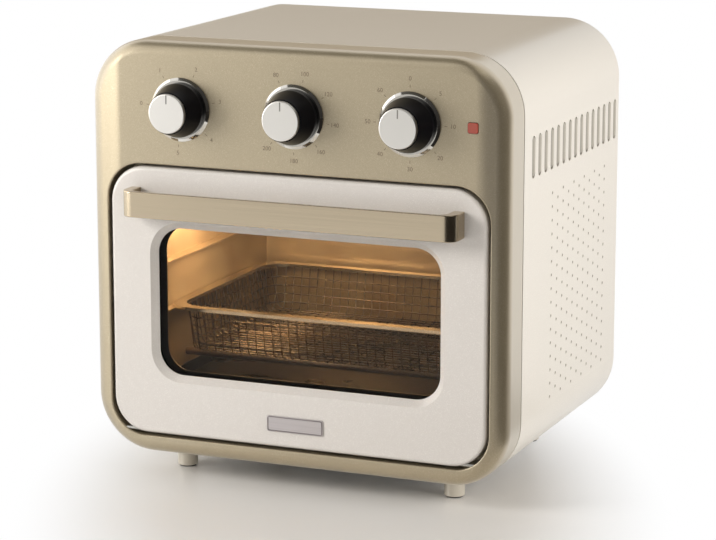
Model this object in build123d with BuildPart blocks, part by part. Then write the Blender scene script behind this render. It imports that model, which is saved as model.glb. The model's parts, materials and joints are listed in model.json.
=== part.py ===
from build123d import *
from math import radians, cos, sin
import os

os.makedirs("parts", exist_ok=True)

# Driving dimensions, in millimetres. X runs to the oven's right, seen from the front,
# Y from the front to the back, Z up from the surface it stands on.
body_width = 340.0
body_height = 323.0
body_depth = 263.0
corner_radius = 46.0
foot_height = 20.0
sheet = 1.2
running_clearance = 0.05
slip = 0.3

# Front frame, one moulding that carries the control panel over the door
frame_depth = 32.0
frame_edge_radius = 10.0
frame_stile = 13.8
panel_height = 94.6
panel_thickness = 3.5
panel_top_wall = 6.0
recess_edge_radius = 1.2
groove_width = 1.6
groove_depth = 1.4

# Door
door_gap = 2.2
door_corner_step = 18.0
door_sill = 14.0
door_edge_radius = 3.0
door_depth = 20.0
door_wall = 9.0
door_face = 5.5
hinge_inset = 2.2
hinge_pin_radius = 1.3
hinge_pin_length = 26.0
door_swing = 90.0

# Window
window_margin = 38.0
window_rise = 47.5
window_head = 47.0
window_radius = 20.0
window_bevel = 5.0
glass_overlap = 6.0
outer_glass_thickness = 4.0
inner_glass_thickness = 3.5

# Handle: a flat strip with its ends turned back to the door
handle_inset = 18.0
handle_height = 20.0
handle_drop = 16.0
handle_reach = 21.0
handle_strip = 3.0
handle_end = 8.0
handle_bend_radius = 10.0

# Cavity, set in from the recess that the door closes
cavity_margin = 22.2
cavity_sill = 32.0
cavity_head = 18.4
rear_space = 18.0
liner_setback = 26.0
gasket_width = 5.0
gasket_inset = 2.5

# Controls
knob_margin = 77.0
knob_drop = 51.0
knob_radius = 20.5
knob_cap_radius = 15.0
knob_proud = 25.0
knob_cap_thickness = 2.5
dial_ring_radius = 24.3
dial_ring_thickness = 2.5
shaft_radius = 3.0
lamp_margin = 28.0
lamp_size = 8.0

# Fan, on a vertical shaft over the cavity
fan_radius = 60.0
fan_blades = 10
fan_hole_radius = 76.0
shroud_height = 25.0
motor_size = 58.0
motor_height = 24.0
cooling_fan_radius = 48.0
cooling_blades = 7

# Basket and tray
basket_travel_ratio = 75.0
basket_depth_down = 36.0
basket_rim_width = 7.5
basket_rim_height = 2.5
rack_height = 58.0
tray_height = 10.0

# Feet
foot_radius = 8.0
foot_margin = 57.0
foot_setback = 45.0
foot_screw_radius = 2.0
pad_radius = 6.5
pad_thickness = 4.0

# Cord gland on the back
gland_radius = 9.0
gland_proud = 12.0
gland_margin = 58.0
gland_rise = 42.0

# Places worked out from the sizes above
overall_depth = knob_proud + body_depth + gland_proud
front_y = knob_proud - overall_depth / 2
back_y = front_y + body_depth
body_bottom = foot_height
body_top = body_bottom + body_height
body_mid = body_bottom + body_height / 2
recess_bottom = body_bottom + door_sill
recess_top = body_top - panel_height
recess_width = body_width - 2 * frame_stile
recess_height = recess_top - recess_bottom
door_width = recess_width - 2 * door_gap
door_height = recess_height - 2 * door_gap
door_radius = corner_radius - door_corner_step
door_bottom = recess_bottom + door_gap
door_mid = door_bottom + door_height / 2
hinge_z = door_bottom + hinge_inset
window_width = door_width - 2 * window_margin
window_height = door_height - window_rise - window_head
window_mid = door_bottom + window_rise + window_height / 2
handle_length = door_width - 2 * handle_inset
handle_bottom = door_bottom + door_height - handle_drop - handle_height
knob_z = body_top - knob_drop
knob_spacing = body_width / 2 - knob_margin
lamp_offset = body_width / 2 - lamp_margin
gland_offset_x = body_width / 2 - gland_margin
foot_offset_x = body_width / 2 - foot_margin
cavity_width = recess_width - 2 * cavity_margin
cavity_height = recess_height - cavity_sill - cavity_head
cavity_depth = body_depth - liner_setback - rear_space
cavity_bottom = recess_bottom + cavity_sill
cavity_top = cavity_bottom + cavity_height
cavity_mid = cavity_bottom + cavity_height / 2
fan_y = front_y + liner_setback + cavity_depth / 2
liner_back = liner_setback + cavity_depth
foot_places = [
    (side * foot_offset_x, front_y + setback)
    for side in (-1, 1)
    for setback in (foot_setback, body_depth - foot_setback)
]
knob_places = {"function": -knob_spacing, "temperature": 0.0, "timer": knob_spacing}


def front_plane(setback, z=0.0, x=0.0):
    """A plane facing forwards, that far behind the front face: local x is X, local y is Z."""
    return Plane(origin=(x, front_y + setback, z), x_dir=(1, 0, 0), z_dir=(0, -1, 0))


def side_plane(x, setback, z):
    """A plane facing +X: local x is Y, local y is Z."""
    return Plane(origin=(x, front_y + setback, z), x_dir=(0, 1, 0), z_dir=(1, 0, 0))


on_floor = (Align.CENTER, Align.CENTER, Align.MIN)


def save(part, name):
    part.label = name
    export_step(part, f"parts/{name}.step")


# Front frame
ledge_width = 8.0
ledge_setback = liner_setback + sheet
panel_pocket_bottom = recess_top + panel_top_wall
panel_pocket_top = body_top - panel_top_wall
boss_radius = 4.0
boss_edge = 9.0
bracket_gap = 6.6
bracket_setback = 12.0
bracket_height = 2 * (knob_z - panel_pocket_bottom - bracket_gap)
boss_spread = knob_spacing / 2
boss_rise = bracket_height / 2 - boss_edge
shaft_clearance = 2.0
shaft_hole_radius = shaft_radius + shaft_clearance
lamp_hole = lamp_size + 2 * slip

with BuildPart() as front_frame:
    with BuildSketch(front_plane(0, body_mid)):
        RectangleRounded(body_width, body_height, corner_radius)
    extrude(amount=-frame_depth)
    fillet(front_frame.faces().sort_by(Axis.Y)[0].edges(), frame_edge_radius)
    with BuildSketch(front_plane(0, door_mid)):
        RectangleRounded(recess_width, recess_height, door_radius)
    extrude(amount=-frame_depth, mode=Mode.SUBTRACT)
    fillet(front_frame.faces().sort_by(Axis.Y)[0].inner_wires()[0].edges(), recess_edge_radius)
    with BuildSketch(front_plane(ledge_setback, door_mid)):
        RectangleRounded(recess_width, recess_height, door_radius)
        RectangleRounded(
            recess_width - 2 * ledge_width,
            recess_height - 2 * ledge_width,
            door_radius - ledge_width,
            mode=Mode.SUBTRACT,
        )
    extrude(amount=ledge_setback - frame_depth)
    with BuildSketch(front_plane(panel_thickness, body_mid)):
        RectangleRounded(
            body_width - 2 * panel_top_wall,
            body_height - 2 * panel_top_wall,
            corner_radius - panel_top_wall,
        )
        with Locations((0, (panel_pocket_bottom + panel_pocket_top) / 2 - body_mid)):
            Rectangle(body_width, panel_pocket_top - panel_pocket_bottom, mode=Mode.INTERSECT)
    extrude(amount=panel_thickness - frame_depth, mode=Mode.SUBTRACT)
    with BuildSketch(front_plane(panel_thickness, knob_z)):
        with GridLocations(2 * boss_spread, 2 * boss_rise, 2, 2):
            Circle(boss_radius)
    extrude(amount=panel_thickness - bracket_setback)
    with BuildSketch(front_plane(0, knob_z)):
        with Locations(*[(x, 0) for x in knob_places.values()]):
            Circle(shaft_hole_radius)
        with Locations((lamp_offset, 0)):
            RectangleRounded(lamp_hole, lamp_hole, lamp_hole / 5)
    extrude(amount=-panel_thickness, mode=Mode.SUBTRACT)
    hinge_start = door_width / 2 - door_radius
    for side in (-1, 1):
        with BuildSketch(side_plane(side * hinge_start, hinge_inset, hinge_z)):
            Circle(hinge_pin_radius + running_clearance)
        extrude(amount=side * (hinge_pin_length + slip), mode=Mode.SUBTRACT)
save(front_frame.part, "front_frame")

# Steel carrier ring, seen as the dark groove between the frame and the shell
carrier_depth = 7.0
carrier_flange = 14.0

with BuildPart() as front_carrier:
    with BuildSketch(front_plane(frame_depth, body_mid)):
        RectangleRounded(
            body_width - 2 * groove_depth, body_height - 2 * groove_depth, corner_radius - groove_depth
        )
        RectangleRounded(
            body_width - 2 * (groove_depth + carrier_flange),
            body_height - 2 * (groove_depth + carrier_flange),
            corner_radius - groove_depth - carrier_flange,
            mode=Mode.SUBTRACT,
        )
    extrude(amount=-sheet)
    with BuildSketch(front_plane(frame_depth + sheet, body_mid)):
        RectangleRounded(
            body_width - 2 * groove_depth, body_height - 2 * groove_depth, corner_radius - groove_depth
        )
        RectangleRounded(
            body_width - 2 * (groove_depth + sheet),
            body_height - 2 * (groove_depth + sheet),
            corner_radius - groove_depth - sheet,
            mode=Mode.SUBTRACT,
        )
    extrude(amount=-carrier_depth)
save(front_carrier.part, "front_carrier")

# Wrap-round shell with pressed vents: top, sides and lower corners, with a return flange at the back
shell_setback = frame_depth + groove_width
shell_length = body_depth - shell_setback
shell_return = 70.0
bottom_opening = body_width - 2 * shell_return
rear_flange = 12.0
rear_recess = 3.0
vent_pitch = 14.2
vent_width = 7.0
vent_height = 32.0
vent_front_margin = 20.5
vent_back_margin = 10.1
vent_drop = 78.8
vent_span = shell_length - vent_front_margin - vent_back_margin
vent_count = int((vent_span + vent_width / 2) / vent_pitch) + 1
vent_setback = shell_setback + vent_front_margin + vent_span / 2
vent_z = body_top - vent_drop
vane_reach = 8.0
vane_angle = 40.0
vane_in = vane_reach * sin(radians(vane_angle))
vane_forward = vane_reach * cos(radians(vane_angle))
vane_height = vent_height - 2 * sheet
vane_root_y = front_y + vent_setback + vent_width / 2 + sheet / 2
screw_hole = foot_screw_radius + running_clearance

with BuildPart() as outer_shell:
    with BuildSketch(front_plane(shell_setback, body_mid)):
        RectangleRounded(body_width, body_height, corner_radius)
        RectangleRounded(
            body_width - 2 * sheet, body_height - 2 * sheet, corner_radius - sheet, mode=Mode.SUBTRACT
        )
    extrude(amount=-shell_length)
    with BuildSketch(front_plane(body_depth - rear_recess - sheet, body_mid)):
        RectangleRounded(body_width - 2 * sheet, body_height - 2 * sheet, corner_radius - sheet)
        RectangleRounded(
            body_width - 2 * (sheet + rear_flange),
            body_height - 2 * (sheet + rear_flange),
            corner_radius - sheet - rear_flange,
            mode=Mode.SUBTRACT,
        )
    extrude(amount=-sheet)
    with BuildSketch(front_plane(shell_setback, body_bottom)):
        Rectangle(bottom_opening, 2 * sheet)
    extrude(amount=-shell_length, mode=Mode.SUBTRACT)
    with BuildSketch(side_plane(-body_width / 2, vent_setback, vent_z)):
        with GridLocations(vent_pitch, vent_height, vent_count, 1):
            SlotOverall(vent_height, vent_width, rotation=90)
    extrude(amount=body_width, mode=Mode.SUBTRACT)
    with BuildSketch(Plane((0, vane_root_y, vent_z - vane_height / 2))):
        for side in (-1, 1):
            with Locations((side * (body_width / 2 - sheet / 2 - vane_in / 2), -vane_forward / 2)):
                with GridLocations(1, vent_pitch, 1, vent_count):
                    Rectangle(vane_reach, sheet, rotation=side * (90 - vane_angle))
    extrude(amount=vane_height)
    with Locations(*[(x, y, body_bottom) for x, y in foot_places]):
        Cylinder(screw_hole, 2 * sheet, mode=Mode.SUBTRACT)
save(outer_shell.part, "outer_shell")

# Base plate, lapped inside the shell's bottom edges
base_lap = 22.0
base_width = bottom_opening + 2 * base_lap
base_front = frame_depth + sheet + carrier_depth + slip
base_back = body_depth - rear_recess - sheet
base_slot_length = 36.0
base_slot_width = 4.0
base_slot_pitch = 46.0
base_slot_spread = 120.0

with BuildPart() as base_plate:
    with BuildSketch(Plane((0, front_y + (base_front + base_back) / 2, body_bottom + sheet))):
        Rectangle(base_width, base_back - base_front)
        with GridLocations(base_slot_pitch, base_slot_spread, 3, 2):
            SlotOverall(base_slot_length, base_slot_width, mode=Mode.SUBTRACT)
    extrude(amount=sheet)
    with Locations(*[(x, y, body_bottom + sheet) for x, y in foot_places]):
        Cylinder(screw_hole, 2 * sheet, align=on_floor, mode=Mode.SUBTRACT)
save(base_plate.part, "base_plate")

# Back cover, seated on the shell's return flange
cover_screw_radius = 1.6
cover_screw_head = 3.0
cover_screw_height = 1.8
cover_screw_spread = 90.0
cover_screw_inset = sheet + rear_flange / 2
cover_inset = sheet + slip
cover_screws = [
    (side * (body_width / 2 - cover_screw_inset), body_mid + edge * cover_screw_spread)
    for side in (-1, 1)
    for edge in (-1, 1)
] + [
    (side * cover_screw_spread, body_mid + edge * (body_height / 2 - cover_screw_inset))
    for side in (-1, 1)
    for edge in (-1, 1)
]
cover_setback = body_depth - rear_recess
cover_slot_width = 4.0
cover_slot_pitch = 11.0
upper_slot_length = 34.0
upper_slot_drop = 51.5
lower_slot_length = 20.0
lower_slot_drop = 181.5
lower_slot_step = 30.0
gland_z = body_bottom + gland_rise
gland_wall = 2.0
gland_flange_step = 1.0
gland_flange_thickness = 3.0

with BuildPart() as rear_cover:
    with BuildSketch(front_plane(cover_setback, body_mid)):
        RectangleRounded(
            body_width - 2 * cover_inset, body_height - 2 * cover_inset, corner_radius - cover_inset
        )
        with Locations((0, body_height / 2 - upper_slot_drop)):
            with GridLocations(cover_slot_pitch, 1, 18, 1):
                SlotOverall(upper_slot_length, cover_slot_width, rotation=90, mode=Mode.SUBTRACT)
        with Locations((0, body_height / 2 - lower_slot_drop)):
            with GridLocations(cover_slot_pitch, lower_slot_step, 12, 3):
                SlotOverall(lower_slot_length, cover_slot_width, rotation=90, mode=Mode.SUBTRACT)
        with Locations(*[(x, z - body_mid) for x, z in cover_screws]):
            Circle(cover_screw_radius + running_clearance, mode=Mode.SUBTRACT)
        with Locations((gland_offset_x, gland_z - body_mid)):
            Circle(gland_radius - gland_wall + running_clearance, mode=Mode.SUBTRACT)
    extrude(amount=-sheet)
save(rear_cover.part, "rear_cover")

with BuildPart() as rear_screws:
    with BuildSketch(front_plane(cover_setback + sheet, 0)):
        with Locations(*cover_screws):
            Circle(cover_screw_head)
    extrude(amount=-cover_screw_height)
    with BuildSketch(front_plane(cover_setback + sheet, 0)):
        with Locations(*cover_screws):
            Circle(cover_screw_radius)
    extrude(amount=sheet)
save(rear_screws.part, "rear_screws")

# Cord gland: a flanged bush with a tapered nose and a blind cord hole
gland_bore = 3.5
gland_nose_setback = cover_setback + sheet + gland_flange_thickness
with BuildPart() as cord_gland:
    with BuildSketch(front_plane(cover_setback + sheet, gland_z, gland_offset_x)):
        Circle(gland_radius)
    extrude(amount=-gland_flange_thickness)
    with BuildSketch(front_plane(gland_nose_setback, gland_z, gland_offset_x)):
        Circle(gland_radius - gland_flange_step)
    extrude(amount=-(body_depth + gland_proud - gland_nose_setback), taper=8)
    with BuildSketch(front_plane(cover_setback + sheet, gland_z, gland_offset_x)):
        Circle(gland_radius - gland_wall)
    extrude(amount=sheet + gland_flange_thickness)
    with BuildSketch(front_plane(body_depth + gland_proud, gland_z, gland_offset_x)):
        Circle(gland_bore)
    extrude(amount=gland_proud, mode=Mode.SUBTRACT)
save(cord_gland.part, "cord_gland")

# Feet: moulded posts, their screws and the rubber pads let into them
pad_recess = 3.0
screw_head_radius = 3.6
screw_head_height = 3.0
screw_head_clearance = 0.4
screw_past_plate = 2.0
foot_edge_radius = 0.8

with BuildPart() as feet:
    with Locations(*[(x, y, pad_thickness - pad_recess) for x, y in foot_places]):
        Cylinder(foot_radius, foot_height - pad_thickness + pad_recess, align=on_floor)
    fillet(feet.edges().group_by(Axis.Z)[0], foot_edge_radius)
    with Locations(*[(x, y, 0) for x, y in foot_places]):
        Cylinder(pad_radius, pad_thickness, align=on_floor, mode=Mode.SUBTRACT)
        Cylinder(
            screw_head_radius + screw_head_clearance,
            pad_thickness + screw_head_height + slip,
            align=on_floor,
            mode=Mode.SUBTRACT,
        )
        Cylinder(screw_hole, foot_height, align=on_floor, mode=Mode.SUBTRACT)
save(feet.part, "feet")

with BuildPart() as foot_pads:
    with Locations(*[(x, y, 0) for x, y in foot_places]):
        Cylinder(pad_radius, pad_thickness, align=on_floor)
save(foot_pads.part, "foot_pads")

with BuildPart() as foot_screws:
    with Locations(*[(x, y, pad_thickness + slip) for x, y in foot_places]):
        Cylinder(screw_head_radius, screw_head_height, align=on_floor)
        Cylinder(
            foot_screw_radius,
            foot_height - pad_thickness + 2 * sheet + screw_past_plate,
            align=on_floor,
        )
save(foot_screws.part, "foot_screws")

# Cavity liner: an open-fronted box with a flange that screws to the front frame
flange_inset = 3.0
lower_heater_radius = 3.25
lower_heater_rise = 15.5
lower_heater_front = 64.0
lower_heater_back = 65.0
lower_heater_setbacks = (liner_setback + lower_heater_front, liner_back - lower_heater_back)
heater_clearance = 0.1
heater_radius = 3.25
heater_pitch = 30.0
heater_drop = 10.0
heater_runs = 6

with BuildPart() as cavity_liner:
    with BuildSketch(front_plane(liner_setback, cavity_mid)):
        Rectangle(cavity_width + 2 * sheet, cavity_height + 2 * sheet)
    extrude(amount=-(cavity_depth + sheet))
    with BuildSketch(front_plane(liner_setback, door_mid)):
        RectangleRounded(
            recess_width - 2 * flange_inset,
            recess_height - 2 * flange_inset,
            door_radius - flange_inset,
        )
    extrude(amount=-sheet)
    with BuildSketch(front_plane(liner_setback, cavity_mid)):
        Rectangle(cavity_width, cavity_height)
    extrude(amount=-cavity_depth, mode=Mode.SUBTRACT)
    with Locations((0, fan_y, cavity_top)):
        Cylinder(fan_hole_radius, sheet, align=on_floor, mode=Mode.SUBTRACT)
    with BuildSketch(side_plane(-body_width / 2, 0, cavity_bottom + lower_heater_rise)):
        with Locations(*[(setback, 0) for setback in lower_heater_setbacks]):
            Circle(lower_heater_radius + heater_clearance)
    extrude(amount=body_width, mode=Mode.SUBTRACT)
    with BuildSketch(front_plane(liner_back, cavity_top - heater_drop)):
        with GridLocations(heater_pitch * (heater_runs - 1), 1, 2, 1):
            Circle(heater_radius + heater_clearance)
    extrude(amount=-sheet, mode=Mode.SUBTRACT)
save(cavity_liner.part, "cavity_liner")

# Rack guides: a folded sheet on each side wall with two shelves
guide_start = 14.0
guide_reach = 8.0
guide_head = 66.0
guide_top = cavity_height - rack_height - guide_head
with BuildPart() as rack_guides:
    for side in (-1, 1):
        wall_x = side * cavity_width / 2
        with BuildSketch(front_plane(liner_setback + guide_start, cavity_bottom + rack_height)):
            with Locations((wall_x - side * sheet / 2, guide_top / 2)):
                Rectangle(sheet, guide_top)
            with Locations(
                (wall_x - side * guide_reach / 2, sheet / 2),
                (wall_x - side * guide_reach / 2, guide_top - sheet / 2),
            ):
                Rectangle(guide_reach, sheet)
        extrude(amount=-(cavity_depth - 2 * guide_start))
save(rack_guides.part, "rack_guides")

# Fan shroud: a dished cap over the hole in the cavity's ceiling
shroud_radius = fan_hole_radius
shroud_flange = 12.0
shaft_bore_gap = 1.5
shaft_bore = shaft_radius + shaft_bore_gap
with BuildPart() as fan_shroud:
    with Locations((0, fan_y, cavity_top + sheet)):
        Cylinder(shroud_radius + shroud_flange, sheet, align=on_floor)
        Cylinder(shroud_radius + sheet, shroud_height, align=on_floor)
    with Locations((0, fan_y, cavity_top)):
        Cylinder(shroud_radius, shroud_height, align=on_floor, mode=Mode.SUBTRACT)
        Cylinder(shaft_bore, 2 * shroud_height, align=on_floor, mode=Mode.SUBTRACT)
save(fan_shroud.part, "fan_shroud")

# Motor bracket: a bridge that stands on the ceiling each side of the shroud
bridge_head = 10.0
bridge_gap = 8.0
bridge_foot = 12.0
bridge_bend = 2.5
bridge_leg = cavity_top + sheet
bridge_top = cavity_top + sheet + shroud_height + bridge_head
bridge_half = shroud_radius + shroud_flange + bridge_gap
bridge_end = bridge_half + bridge_foot
bridge_width = 50.0
motor_bottom = bridge_top + sheet
motor_top = motor_bottom + motor_height
with BuildPart() as motor_bracket:
    with BuildSketch(front_plane(liner_setback + cavity_depth / 2 - bridge_width / 2)):
        with BuildLine():
            bridge = FilletPolyline(
                (-bridge_end, bridge_leg + sheet / 2),
                (-bridge_half, bridge_leg + sheet / 2),
                (-bridge_half, bridge_top + sheet / 2),
                (bridge_half, bridge_top + sheet / 2),
                (bridge_half, bridge_leg + sheet / 2),
                (bridge_end, bridge_leg + sheet / 2),
                radius=bridge_bend,
            )
            offset(amount=sheet / 2, side=Side.BOTH)
        make_face()
    extrude(amount=-bridge_width)
    with Locations((0, fan_y, bridge_top)):
        Cylinder(shaft_bore, sheet, align=on_floor, mode=Mode.SUBTRACT)
save(motor_bracket.part, "motor_bracket")

# Fan motor: a square stack with a coil on one side and a through bore for the shaft
coil_width = 22.0
coil_height = 34.0
coil_step = 4.0
motor_corner = 4.0
coil_corner = 5.0
with BuildPart() as fan_motor:
    with BuildSketch(Plane((0, fan_y, motor_bottom))):
        RectangleRounded(motor_size, motor_size, motor_corner)
        Circle(shaft_radius + running_clearance, mode=Mode.SUBTRACT)
    extrude(amount=motor_height)
    with BuildSketch(Plane((0, fan_y + motor_size / 2, motor_bottom))):
        with Locations((0, coil_width / 2)):
            RectangleRounded(coil_height, coil_width, coil_corner)
    extrude(amount=motor_height - coil_step)
save(fan_motor.part, "fan_motor")

# Fan shaft with the convection fan below the bracket and the cooling fan over the motor
fan_hub_radius = 9.0
fan_hub_height = 6.3
fan_headroom = 10.0
fan_disc_z = cavity_top + shroud_height - fan_headroom
fan_blade_height = 16.0
fan_blade_gap = 4.0
cooling_gap = 4.0
cooling_height = 12.0
cooling_blade = 1.6
cooling_blade_inset = 1.0
cooling_blade_middle = (fan_hub_radius + cooling_fan_radius) / 2 - cooling_blade_inset
shaft_tail = 8.0
shaft_nose = 3.0
cooling_z = motor_top + cooling_gap
shaft_bottom = fan_disc_z - shaft_tail
shaft_top = cooling_z + cooling_height + shaft_nose

with BuildPart() as fan_shaft:
    with Locations((0, fan_y, shaft_bottom)):
        Cylinder(shaft_radius, shaft_top - shaft_bottom, align=on_floor)
save(fan_shaft.part, "fan_shaft")

with BuildPart() as convection_fan:
    with BuildSketch(Plane((0, fan_y, fan_disc_z))):
        Circle(fan_radius)
    extrude(amount=sheet)
    with BuildSketch(Plane((0, fan_y, fan_disc_z))):
        with PolarLocations((fan_hub_radius + fan_radius) / 2, fan_blades):
            Rectangle(fan_radius - fan_hub_radius - fan_blade_gap, sheet, rotation=18)
    extrude(amount=-fan_blade_height)
    with BuildSketch(Plane((0, fan_y, fan_disc_z))):
        Circle(fan_hub_radius)
    extrude(amount=-fan_hub_height)
    with BuildSketch(Plane((0, fan_y, fan_disc_z - fan_blade_height))):
        Circle(shaft_radius)
    extrude(amount=2 * fan_blade_height, mode=Mode.SUBTRACT)
save(convection_fan.part, "convection_fan")

with BuildPart() as cooling_fan:
    with BuildSketch(Plane((0, fan_y, cooling_z))):
        Circle(fan_hub_radius)
        with PolarLocations(cooling_blade_middle, cooling_blades):
            Rectangle(cooling_fan_radius - fan_hub_radius, cooling_blade, rotation=12)
        Circle(shaft_radius, mode=Mode.SUBTRACT)
    extrude(amount=cooling_height)
save(cooling_fan.part, "cooling_fan")

# Insulation blanket over the cavity, cut away round the shroud and the bridge's legs
blanket_thickness = 8.0
blanket_gap = 0.6
blanket_inset = 2.0
blanket_corner = 12.0
blanket_foot_gap = 2.0
blanket_shroud_gap = 3.0
with BuildPart() as insulation:
    with BuildSketch(Plane((0, fan_y, cavity_top + sheet + blanket_gap))):
        RectangleRounded(
            cavity_width - 2 * blanket_inset, cavity_depth - 2 * blanket_inset, blanket_corner
        )
        RectangleRounded(
            2 * (bridge_end + blanket_foot_gap),
            2 * (shroud_radius + shroud_flange + blanket_shroud_gap),
            blanket_corner,
            mode=Mode.SUBTRACT,
        )
    extrude(amount=blanket_thickness)
save(insulation.part, "insulation")

# Upper heater: one tube in a serpentine under the fan, its ends through the back wall
heater_z = cavity_top - heater_drop
heater_front_gap = 30.0
heater_rear_gap = 22.0
heater_tail_length = 11.0
heater_bend_gap = 0.4
heater_front = front_y + liner_setback + heater_front_gap
heater_rear = front_y + liner_back - heater_rear_gap
heater_tail = front_y + liner_back + sheet + heater_tail_length
heater_bend = heater_pitch / 2 - heater_bend_gap
run_x = [heater_pitch * (index - (heater_runs - 1) / 2) for index in range(heater_runs)]
heater_points = [(run_x[0], heater_tail, heater_z)]
for index in range(heater_runs - 1):
    turn_y = heater_front if index % 2 == 0 else heater_rear
    heater_points += [(run_x[index], turn_y, heater_z), (run_x[index + 1], turn_y, heater_z)]
heater_points.append((run_x[-1], heater_tail, heater_z))

with BuildPart() as upper_heater:
    with BuildLine() as heater_path:
        FilletPolyline(*heater_points, radius=heater_bend)
    with BuildSketch(Plane(origin=heater_points[0], z_dir=(0, -1, 0))):
        Circle(heater_radius)
    sweep()
save(upper_heater.part, "upper_heater")

# Lower heaters: two straight tubes across the floor of the cavity
lower_heater_z = cavity_bottom + lower_heater_rise
lower_heater_half = cavity_width / 2 + sheet + heater_tail_length
with BuildPart() as lower_heaters:
    with BuildSketch(side_plane(-lower_heater_half, 0, lower_heater_z)):
        with Locations(*[(setback, 0) for setback in lower_heater_setbacks]):
            Circle(lower_heater_radius)
    extrude(amount=2 * lower_heater_half)
save(lower_heaters.part, "lower_heaters")

# Ceramic bushes round the heater tails, outside the liner
bush_radius = 6.5
bush_length = 8.0
with BuildPart() as heater_bushes:
    with BuildSketch(front_plane(liner_back + sheet, heater_z)):
        with GridLocations(heater_pitch * (heater_runs - 1), 1, 2, 1):
            Circle(bush_radius)
            Circle(heater_radius + heater_clearance, mode=Mode.SUBTRACT)
    extrude(amount=-bush_length)
    for side in (-1, 1):
        with BuildSketch(side_plane(side * (cavity_width / 2 + sheet), 0, lower_heater_z)):
            with Locations(*[(setback, 0) for setback in lower_heater_setbacks]):
                Circle(bush_radius)
                Circle(lower_heater_radius + heater_clearance, mode=Mode.SUBTRACT)
        extrude(amount=side * bush_length)
save(heater_bushes.part, "heater_bushes")

# Guard plate under the upper heater, hung from the ceiling on four posts
guard_half = 92.0
guard_drop = 19.0
guard_corner = 8.0
guard_post_radius = 2.5
guard_post_inset = 5.0
guard_post_spread = 2 * (guard_half - guard_post_inset)
guard_slot_length = 20.0
guard_slot_width = 8.0
guard_slot_bridge = 6.0
guard_step_x = guard_slot_length + guard_slot_bridge
guard_step_y = guard_slot_width + guard_slot_bridge
with BuildPart() as heater_guard:
    with BuildSketch(Plane((0, fan_y, cavity_top - guard_drop))):
        RectangleRounded(2 * guard_half, 2 * guard_half, guard_corner)
        with GridLocations(guard_step_x, guard_step_y, 6, 11):
            SlotOverall(guard_slot_length, guard_slot_width, mode=Mode.SUBTRACT)
    extrude(amount=-sheet)
    with BuildSketch(Plane((0, fan_y, cavity_top - guard_drop))):
        with GridLocations(guard_post_spread, guard_post_spread, 2, 2):
            Circle(guard_post_radius)
    extrude(amount=guard_drop)
save(heater_guard.part, "heater_guard")

# Cavity lamp on the left wall: a glass cover inside, the bulb behind it
lamp_back = 40.0
lamp_drop = 36.0
lamp_cover_radius = 17.0
lamp_cover_depth = 6.0
lamp_cover_edge = 4.0
lamp_bulb_radius = 9.0
lamp_bulb_length = 12.0
lamp_socket_rim = 4.0
lamp_socket_length = 8.0
lamp_x = -cavity_width / 2
lamp_setback = liner_back - lamp_back
lamp_z = cavity_top - lamp_drop
with BuildPart() as lamp_cover:
    with BuildSketch(side_plane(lamp_x, lamp_setback, lamp_z)):
        Circle(lamp_cover_radius)
    extrude(amount=lamp_cover_depth)
    fillet(lamp_cover.edges().group_by(Axis.X)[-1], lamp_cover_edge)
save(lamp_cover.part, "lamp_cover")

with BuildPart() as cavity_lamp:
    with BuildSketch(side_plane(lamp_x - sheet, lamp_setback, lamp_z)):
        Circle(lamp_bulb_radius + lamp_socket_rim)
    extrude(amount=-lamp_socket_length)
    with BuildSketch(side_plane(lamp_x - sheet - lamp_socket_length, lamp_setback, lamp_z)):
        Circle(lamp_bulb_radius)
    extrude(amount=-lamp_bulb_length)
save(cavity_lamp.part, "cavity_lamp")

# Controls: a bracket on the panel's bosses carries the switch, the thermostat and the timer
lens_proud = 1.2
lens_flange = 2.0
lens_flange_thickness = 1.5
lens_edge = 0.8
bracket_lens_gap = 8.0
bracket_width = 2 * (lamp_offset - lamp_size / 2 - lens_flange - bracket_lens_gap)
bracket_corner = 4.0
bracket_sheet = 1.5
neck_radius = 5.0
neck_length = 4.0
shaft_socket = 12.0
shaft_end_gap = 1.0
control_corner = 3.0
control_setback = bracket_setback + bracket_sheet
control_sizes = {
    "function": (38.0, 38.0, 24.0),
    "temperature": (34.0, 30.0, 20.0),
    "timer": (52.0, 46.0, 30.0),
}
control_names = {
    "function": "function_switch",
    "temperature": "thermostat",
    "timer": "timer_mechanism",
}

with BuildPart() as control_bracket:
    with BuildSketch(front_plane(bracket_setback, knob_z)):
        RectangleRounded(bracket_width, bracket_height, bracket_corner)
        with Locations(*[(x, 0) for x in knob_places.values()]):
            Circle(neck_radius + running_clearance, mode=Mode.SUBTRACT)
    extrude(amount=-bracket_sheet)
save(control_bracket.part, "control_bracket")

for name, x in knob_places.items():
    control_width, control_height, control_depth = control_sizes[name]
    with BuildPart() as control:
        with BuildSketch(front_plane(control_setback, knob_z, x)):
            RectangleRounded(control_width, control_height, control_corner)
        extrude(amount=-control_depth)
        with BuildSketch(front_plane(control_setback, knob_z, x)):
            Circle(neck_radius)
        extrude(amount=neck_length)
        with BuildSketch(front_plane(control_setback - neck_length, knob_z, x)):
            Circle(shaft_radius + running_clearance)
        extrude(amount=-(neck_length + shaft_socket), mode=Mode.SUBTRACT)
    save(control.part, control_names[name])

# Indicator: a square lens through the panel and the lamp holder behind it
lens_back = lamp_size + 2 * lens_flange
holder_depth = 8.0
holder_setback = panel_thickness + lens_flange_thickness
terminal_radius = 3.0
terminal_length = 10.0
with BuildPart() as indicator_lens:
    with BuildSketch(front_plane(-lens_proud, knob_z, lamp_offset)):
        RectangleRounded(lamp_size, lamp_size, lamp_size / 5)
    extrude(amount=-(lens_proud + panel_thickness))
    fillet(indicator_lens.faces().sort_by(Axis.Y)[0].edges(), lens_edge)
    with BuildSketch(front_plane(panel_thickness, knob_z, lamp_offset)):
        RectangleRounded(lens_back, lens_back, lens_flange)
    extrude(amount=-lens_flange_thickness)
save(indicator_lens.part, "indicator_lens")

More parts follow.
